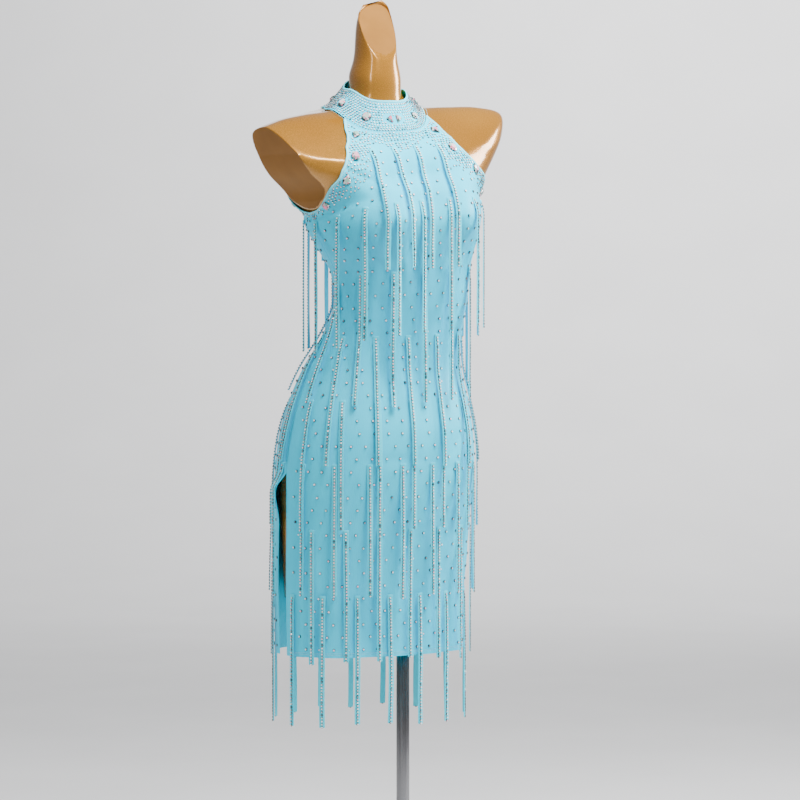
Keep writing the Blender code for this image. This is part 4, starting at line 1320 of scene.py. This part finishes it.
def stoneTree(material):
    # eight-sided flat-backed stone with a table, turned at random about its own axis
    tree, sockets = startTree("flatBackStones", (
        ("Stone radius", "NodeSocketFloat", 0.002),
        ("Table share", "NodeSocketFloat", 0.64),
        ("Height share", "NodeSocketFloat", 0.75),
        ("Sides", "NodeSocketInt", 8),
        ("Tilt", "NodeSocketFloat", 0.05),
        ("Seed", "NodeSocketInt", 3),
    ))
    radius, seed = sockets["Stone radius"], sockets["Seed"]
    table = addNode(tree, "ShaderNodeMath", {0: radius, 1: sockets["Table share"]}, operation="MULTIPLY")
    height = addNode(tree, "ShaderNodeMath", {0: radius, 1: sockets["Height share"]}, operation="MULTIPLY")
    sizes = {"Radius Top": table.outputs[0], "Radius Bottom": radius, "Depth": height.outputs[0]}
    cone = addNode(tree, "GeometryNodeMeshCone", {"Vertices": sockets["Sides"], **sizes}, fill_type="NGON")
    # the top face is marked "table" so that the material paints a glint on it, set against the sides' painted
    # shade
    marked = addNode(
        tree, "GeometryNodeStoreNamedAttribute",
        {"Geometry": cone.outputs["Mesh"], "Value": cone.outputs["Top"]}, {"Name": "table"},
        data_type="FLOAT", domain="FACE",
    )
    facing = addNode(
        tree, "FunctionNodeAlignRotationToVector",
        {"Vector": readAttribute(tree, "facing", "FLOAT_VECTOR")}, axis="Z",
    )
    turn = addNode(tree, "FunctionNodeRandomValue", {"Seed": seed}, {2: 0.0, 3: 6.283}, data_type="FLOAT")
    spin = addNode(
        tree, "FunctionNodeAxisAngleToRotation", {"Angle": turn.outputs[1]}, {"Axis": (0.0, 0.0, 1.0)},
    )
    lean = addNode(
        tree, "FunctionNodeRandomValue", {"Max": sockets["Tilt"], "Seed": seed}, {0: (0.0, 0.0, 0.0)},
        data_type="FLOAT_VECTOR",
    )
    leaning = addNode(tree, "FunctionNodeEulerToRotation", {"Euler": lean.outputs[0]})
    rotation = facing.outputs["Rotation"]
    for further in (spin, leaning):
        rotation = addNode(
            tree, "FunctionNodeRotateRotation",
            {"Rotation": rotation, "Rotate By": further.outputs["Rotation"]}, rotation_space="LOCAL",
        ).outputs["Rotation"]
    # a random value per stone sets how bright its painted glint and painted shade are
    paintedGlint = addNode(tree, "FunctionNodeRandomValue", {"Seed": seed}, {2: 0.0, 3: 1.0}, data_type="FLOAT")
    tinted = addNode(
        tree, "GeometryNodeStoreNamedAttribute",
        {"Geometry": sockets["Geometry"], "Value": paintedGlint.outputs[1]}, {"Name": "paintedGlint"},
        data_type="FLOAT", domain="POINT",
    )
    return finishTree(
        tree, tinted.outputs["Geometry"], marked.outputs["Geometry"], rotation,
        readAttribute(tree, "size", "FLOAT"), material,
    )


def stitchTree(material):
    # short thread lying along the seam
    tree, sockets = startTree("seamStitches", (
        ("Thread radius", "NodeSocketFloat", 0.00028),
        ("Stitch length", "NodeSocketFloat", 0.0026),
        ("Sides", "NodeSocketInt", 5),
    ))
    thread = addNode(
        tree, "GeometryNodeMeshCylinder",
        {"Vertices": sockets["Sides"], "Radius": sockets["Thread radius"], "Depth": sockets["Stitch length"]},
        fill_type="NGON",
    )
    lying = addNode(
        tree, "FunctionNodeAlignRotationToVector",
        {"Vector": readAttribute(tree, "along", "FLOAT_VECTOR")}, axis="Z",
    )
    return finishTree(
        tree, sockets["Geometry"], thread.outputs["Mesh"], lying.outputs["Rotation"],
        readAttribute(tree, "size", "FLOAT"), material,
    )


def growPiece(name, places, tree, values):
    # runs a tree on a set of places and keeps the result as a plain mesh
    mesh = bpy.data.meshes.new(f"{name}Places")
    mesh.from_pydata([tuple(place[0]) for place in places], [], [])
    for key, index in (("facing", 1), ("along", 2)):
        layer = mesh.attributes.new(key, "FLOAT_VECTOR", "POINT")
        layer.data.foreach_set("vector", [value for place in places for value in place[index]])
    layer = mesh.attributes.new("size", "FLOAT", "POINT")
    layer.data.foreach_set("value", [place[3] for place in places])
    holder = bpy.data.objects.new(f"{name}Holder", mesh)
    bpy.context.scene.collection.objects.link(holder)
    modifier = holder.modifiers.new("grow", "NODES")
    modifier.node_group = tree
    for item in tree.interface.items_tree:
        if item.item_type == "SOCKET" and item.in_out == "INPUT" and item.name in values:
            modifier[item.identifier] = values[item.name]
    grown = bpy.data.meshes.new_from_object(holder.evaluated_get(bpy.context.evaluated_depsgraph_get()))
    grown.name = name
    bpy.data.objects.remove(holder, do_unlink=True)
    piece = bpy.data.objects.new(name, grown)
    bpy.context.scene.collection.objects.link(piece)
    return piece


stones = stoneTree(smallCrystal)
collarStonePiece = growPiece("collarStones", collarPlaces, stones, {"Stone radius": 0.0020, "Seed": 2})
clothStonePiece = growPiece("clothStones", clothPlaces, stones, {"Stone radius": 0.0021, "Seed": 7})
ribbonStonePieces = {}
for number, (name, places) in enumerate(ribbonStonePlaces.items()):
    ribbonStonePieces[name] = growPiece(
        f"ribbonStones_{name}", places, stones, {"Stone radius": 0.0023, "Sides": 7, "Seed": 20 + number},
    )
print("stones set")

stitch = {"pitch": 0.0034, "hemInset": 0.0105, "rowGap": 0.0030, "armholeInset": 0.0040}


def stitchRow(places, out):
    # places are (level, angle) along a seam; gives one stitch each pitch
    made = []
    points = [clothPoint(level, angle, cloth["wall"] + out) for level, angle in places]
    for index, share in alongLine(points, 0.0, stitch["pitch"]):
        start, end = points[index:index + 2]
        made.append((start.lerp(end, share), skinNormal(*places[index]), (end - start).normalized(), 1.0))
    return made


def stitchPlaces():
    made = []
    levelPer = 1 / (rings[1].side - rings[0].side)
    for inset in (stitch["hemInset"], stitch["hemInset"] - stitch["rowGap"]):
        level = inset * levelPer
        made += stitchRow([(level, angle * 0.5) for angle in range(-176, 516)], cloth["hemRise"])
    for side in (-1, 1):
        inside = []
        for level, angle in armholePlaces(side):
            perDegree = max(gapBetween(level, angle + 0.5, angle - 0.5), 1e-4)
            back = abs(turnBetween(angle, 180.0)) < 90.0
            towards = -side if not back else side
            if level < armpitLevel + 0.25:
                inside.append((level - 0.16, angle))
            else:
                inside.append((level, angle + towards * stitch["armholeInset"] / perDegree))
        made += stitchRow(inside, 0.0001)
    for level in (collarLevel - 0.10, collarTopLevel - 0.12):
        made += stitchRow([(level, angle) for angle in range(-179, 180)], 0.0001)
    return made


stitches = growPiece("seamStitches", stitchPlaces(), stitchTree(threadMaterial), {})
print("stitches sewn")


# Dress form and stand

formShape = {"bottomLevel": 1.85, "columnStep": 2.0, "hiddenRoom": 0.0045, "rimWidth": 0.0006}


def hiddenShare(level, angle):
    # 1 where the cloth covers the form well, 0 where it shows
    if level >= collarLevel:
        return 0.0
    if level <= armpitLevel - 0.5:
        return 1.0
    back = abs(turnBetween(angle, 180.0)) < 90.0
    half = panelHalf(level, back)
    aside = abs(turnBetween(angle, 180.0 if back else 0.0))
    inside = (half - aside) / 12.0 if level > armpitLevel else (armpitLevel - level) / 0.5
    return min(1.0, max(0.0, inside)) * min(1.0, (collarLevel - level) / 0.8)


def slitShare(level, angle):
    # 1 beside the slit, where the form lies close behind the cloth
    return math.exp(-(turnBetween(angle, -92.0) / 24.0) ** 2) if level < 7.0 else 0.0


def onCutFace(level, angle):
    # true on the flat faces of the arm sockets and of the neck, inside their rounded rims
    if not (armpitLevel < level < collarLevel or level > collarTopLevel + 1):
        return False
    point = skin(level, angle)
    ring = keptRing(level)
    if level > collarTopLevel:
        height = point.z - ring.tilt * (point.x - body["neckX"] - ring.shift)
        plane = body["neckCutFront"] + body["neckCutSlope"] * (height - body["neckCutHeight"])
        behind = point.y - body["neckY"] - ring.seam
        return math.cos(math.radians(angle)) > 0 and behind < plane + formShape["rimWidth"]
    x = point.x - body["neckX"] - ring.shift
    low, high = socketLimits(point.y - body["neckY"] - ring.seam, point.z - ring.tilt * x)
    return x < low + formShape["rimWidth"] or x > high - formShape["rimWidth"]


def buildForm():
    count = round(360 / formShape["columnStep"])
    angles = [step * formShape["columnStep"] for step in range(count)]
    levels = [formShape["bottomLevel"]]
    levels += [2.0 + 0.1 * step for step in range(int((topLevel - 2) / 0.1) + 1)]
    levels += [armpitLevel + 0.05 + 0.1 * step for step in range(70)]
    levels += [26.05 + 0.1 * step for step in range(40)]
    levels = sorted({round(level, 3) for level in levels if level <= topLevel})
    points = []
    for level in levels:
        ring = keptRing(level)
        for angle in angles:
            beside = slitShare(level, angle)
            inset = cloth["wall"] + cloth["formClearance"] + ring.room * (1 - 0.55 * beside)
            inset += formShape["hiddenRoom"] * hiddenShare(level, angle) * (1 - beside)
            points.append(skin(level, angle) - skinNormal(level, angle) * inset)
    bottom = sum(point.z for point in points[:count]) / count
    for point in points[:count]:
        point.z = bottom
    piece = makePiece("dressFormShell", points, tubeFaces(len(levels), count), None, 35.0)
    piece.data.materials.append(gold)
    piece.data.materials.append(cutFaceGoldWithPaintedShade)
    halfStep = 0.5 * formShape["columnStep"]
    # the cut faces take the dull gold, whose darker colour is painted shade
    dullAndShadedFaces = [int(onCutFace(level + 0.05, angle + halfStep)) for level in levels[:-1] for angle in angles]
    piece.data.polygons.foreach_set("material_index", dullAndShadedFaces + [0, 0])
    return piece


def turnedPiece(name, profile, material, sides=96):
    # profile holds (radius, height) from the underside up
    points = []
    for radius, height in profile:
        for step in range(sides):
            turn = 2 * math.pi * step / sides
            points.append((radius * math.cos(turn), radius * math.sin(turn), height))
    piece = makePiece(name, points, tubeFaces(len(profile), sides), None, 35.0)
    piece.data.materials.append(material)
    return piece


# radius and height above the lowest or below the highest point of the solid
poleProfile = ((0.0106, 0.0), (0.011, 0.0006)), ((0.011, 0.0006), (0.0106, 0.0))
flangeProfile = (
    (0.0446, 0.0), (0.045, 0.0005), (0.045, 0.0032), (0.0442, 0.0042), (0.026, 0.0060), (0.0182, 0.0080),
), ((0.0165, 0.0010), (0.0158, 0.0))
socketProfile = ((0.0312, 0.0), (0.032, 0.0010)), ((0.032, 0.0010), (0.0312, 0.0))
baseProfile = ((0.1792, 0.0), (0.18, 0.0008)), ((0.18, 0.0022), (0.1793, 0.0008), (0.1780, 0.0))


def standPiece(name, node, profile, material):
    low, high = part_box(node)
    rows = [(radius, low[2] + up) for radius, up in profile[0]]
    rows += [(radius, high[2] - down) for radius, down in profile[1]]
    return turnedPiece(name, rows, material)


formShell = buildForm()
poleTube = standPiece("poleTube", "pole", poleProfile, poleSteel)
flangePiece = standPiece("poleFlange", "pole_flange", flangeProfile, poleSteel)
socketPiece = standPiece("formSocket", "form_socket", socketProfile, plateSteel)
basePiece = standPiece("basePlate", "base_plate", baseProfile, plateSteel)
print("form and stand made")


# What each piece stands for

pairs = [
    (frontPanel, "front"), (backLeftPanel, "back_left"), (backRightPanel, "back_right"),
    (standCollar, "collar"), (formShell, "dress_form"), (poleTube, "pole"),
    (flangePiece, "pole_flange"), (socketPiece, "form_socket"), (basePiece, "base_plate"),
]
pairs += [(piece, name) for name, piece in ribbonPieces.items()]
for piece, node in pairs:
    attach(piece, "root")
    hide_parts(node)
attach(largeStones, "root")
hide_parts(*(row.name for row in largeRows))
extras = bindings + [collarStonePiece, clothStonePiece, stitches] + list(ribbonStonePieces.values())
for piece in extras:
    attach(piece, "root")
slotPieces = {
    "satin": [
        frontPanel, backLeftPanel, backRightPanel, standCollar, stitches, *bindings, *ribbonPieces.values(),
    ],
    "crystal": [largeStones, collarStonePiece, clothStonePiece, *ribbonStonePieces.values()],
    "form_gold": [formShell],
    "pole_steel": [poleTube, flangePiece, socketPiece],
    "base_steel": [basePiece],
}
for slotName, pieces in slotPieces.items():
    for piece in pieces:
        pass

# the pieces that sit on the dress's cloth
dressPieces = [clothStonePiece, stitches] + bindings[:2] + list(ribbonPieces.values())
dressPieces += list(ribbonStonePieces.values())


# Studio

studio = {
    "azimuth": 30.0,            # the camera stands towards the wearer's right
    "distance": 6.0,
    "height": 1.15,
    "focalPixels": 3600.0,
    "axisPixel": (375.0, 243.0),
    "imageSize": 800.0,
    "sweepRadius": 4.0,
    "sweepBack": 9.0,
    "sweepFront": 9.0,
    "sweepHalf": 9.0,
    "sweepHeight": 6.0,
}
turn = math.radians(studio["azimuth"])
forward = Vector((math.sin(turn), math.cos(turn), 0.0))
right = Vector((math.cos(turn), -math.sin(turn), 0.0))


def buildSweep():
    # paper floor that curves up into a backdrop behind the object, across the camera's view
    radius, back = studio["sweepRadius"], studio["sweepBack"]
    profile = [(-studio["sweepFront"], 0.0), (0.0, 0.0), (back - radius, 0.0)]
    for step in range(1, 17):
        bend = math.pi / 2 * step / 16
        profile.append((back - radius + radius * math.sin(bend), radius - radius * math.cos(bend)))
    profile.append((back, studio["sweepHeight"]))
    points, faces = [], []
    for along, height in profile:
        for side in (-1, 1):
            place = forward * along + right * (side * studio["sweepHalf"])
            points.append((place.x, place.y, height - 0.0005))
    for row in range(len(profile) - 1):
        low = 2 * row
        faces.append((low, low + 1, low + 3, low + 2))
    return makePiece("paperSweep", points, faces)


sweep = buildSweep()
sweep.data.materials.append(paperBackdrop())

neckAxis = Vector((body["neckX"], body["neckY"], 0.0))
cameraPlace = neckAxis - forward * studio["distance"] + Vector((0.0, 0.0, studio["height"]))
perMetre = studio["focalPixels"] / studio["distance"]
aside = (studio["imageSize"] / 2 - studio["axisPixel"][0]) / perMetre
below = (studio["imageSize"] / 2 - studio["axisPixel"][1]) / perMetre
aim = neckAxis + right * aside + Vector((0.0, 0.0, studio["height"] - below))
camera = bpy.data.objects.new("camera", bpy.data.cameras.new("camera"))
bpy.context.scene.collection.objects.link(camera)
camera.location = cameraPlace
camera.rotation_mode = "QUATERNION"
camera.rotation_quaternion = (aim - cameraPlace).to_track_quat("-Z", "Y")
camera.data.sensor_width = 36.0
camera.data.lens = 36.0 * studio["focalPixels"] / studio["imageSize"]
camera.data.clip_end = 60.0
bpy.context.scene.camera = camera


def addSoftbox(name, azimuth, elevation, distance, target, size, watts, mirrored=False):
    # azimuth is to the camera's right; target holds metres right, away from the camera and up;
    # only a mirrored box shows in the glossy surfaces
    light = bpy.data.lights.new(name, "AREA")
    light.shape = "RECTANGLE"
    light.size, light.size_y = size
    light.energy = watts
    lamp = bpy.data.objects.new(name, light)
    bpy.context.scene.collection.objects.link(lamp)
    lamp.visible_glossy = mirrored
    aside, up = math.radians(azimuth), math.radians(elevation)
    away = right * (math.sin(aside) * math.cos(up)) - forward * (math.cos(aside) * math.cos(up))
    middle = neckAxis + right * target[0] + forward * target[1] + Vector((0.0, 0.0, target[2]))
    lamp.location = middle + (away + Vector((0.0, 0.0, math.sin(up)))) * distance
    lamp.rotation_mode = "QUATERNION"
    lamp.rotation_quaternion = (middle - lamp.location).to_track_quat("-Z", "Y")


addSoftbox("keySoftbox", 50.0, 58.0, 1.55, (0.0, 0.0, 1.32), (1.0, 0.9), 125.0)
addSoftbox("sideSoftbox", 106.0, 12.0, 2.6, (0.0, 0.0, 1.0), (0.8, 1.6), 46.0)
addSoftbox("fillSoftbox", -102.0, 10.0, 2.6, (0.0, 0.0, 0.9), (0.9, 1.5), 30.0)
addSoftbox("shoulderSpot", 30.0, 42.0, 3.0, (0.0, 0.0, 1.25), (0.42, 0.5), 24.0, True)
addSoftbox("sideSpot", 106.0, 12.0, 2.8, (0.0, 0.0, 1.25), (0.75, 0.9), 62.0, True)
addSoftbox("neckStrip", -9.0, 22.0, 3.4, (0.0, 0.0, 1.20), (0.26, 1.3), 12.0, True)
addSoftbox("paperSoftbox", 0.0, 40.0, 4.0, (1.4, 8.6, 2.2), (3.0, 1.0), 440.0)
world = bpy.data.worlds.new("studioAir")
bpy.context.scene.world = world
world.use_nodes = True
air = world.node_tree.nodes["Background"].inputs
air["Color"].default_value = hexColour("EDEEF0")
air["Strength"].default_value = 0.42
print("studio ready")
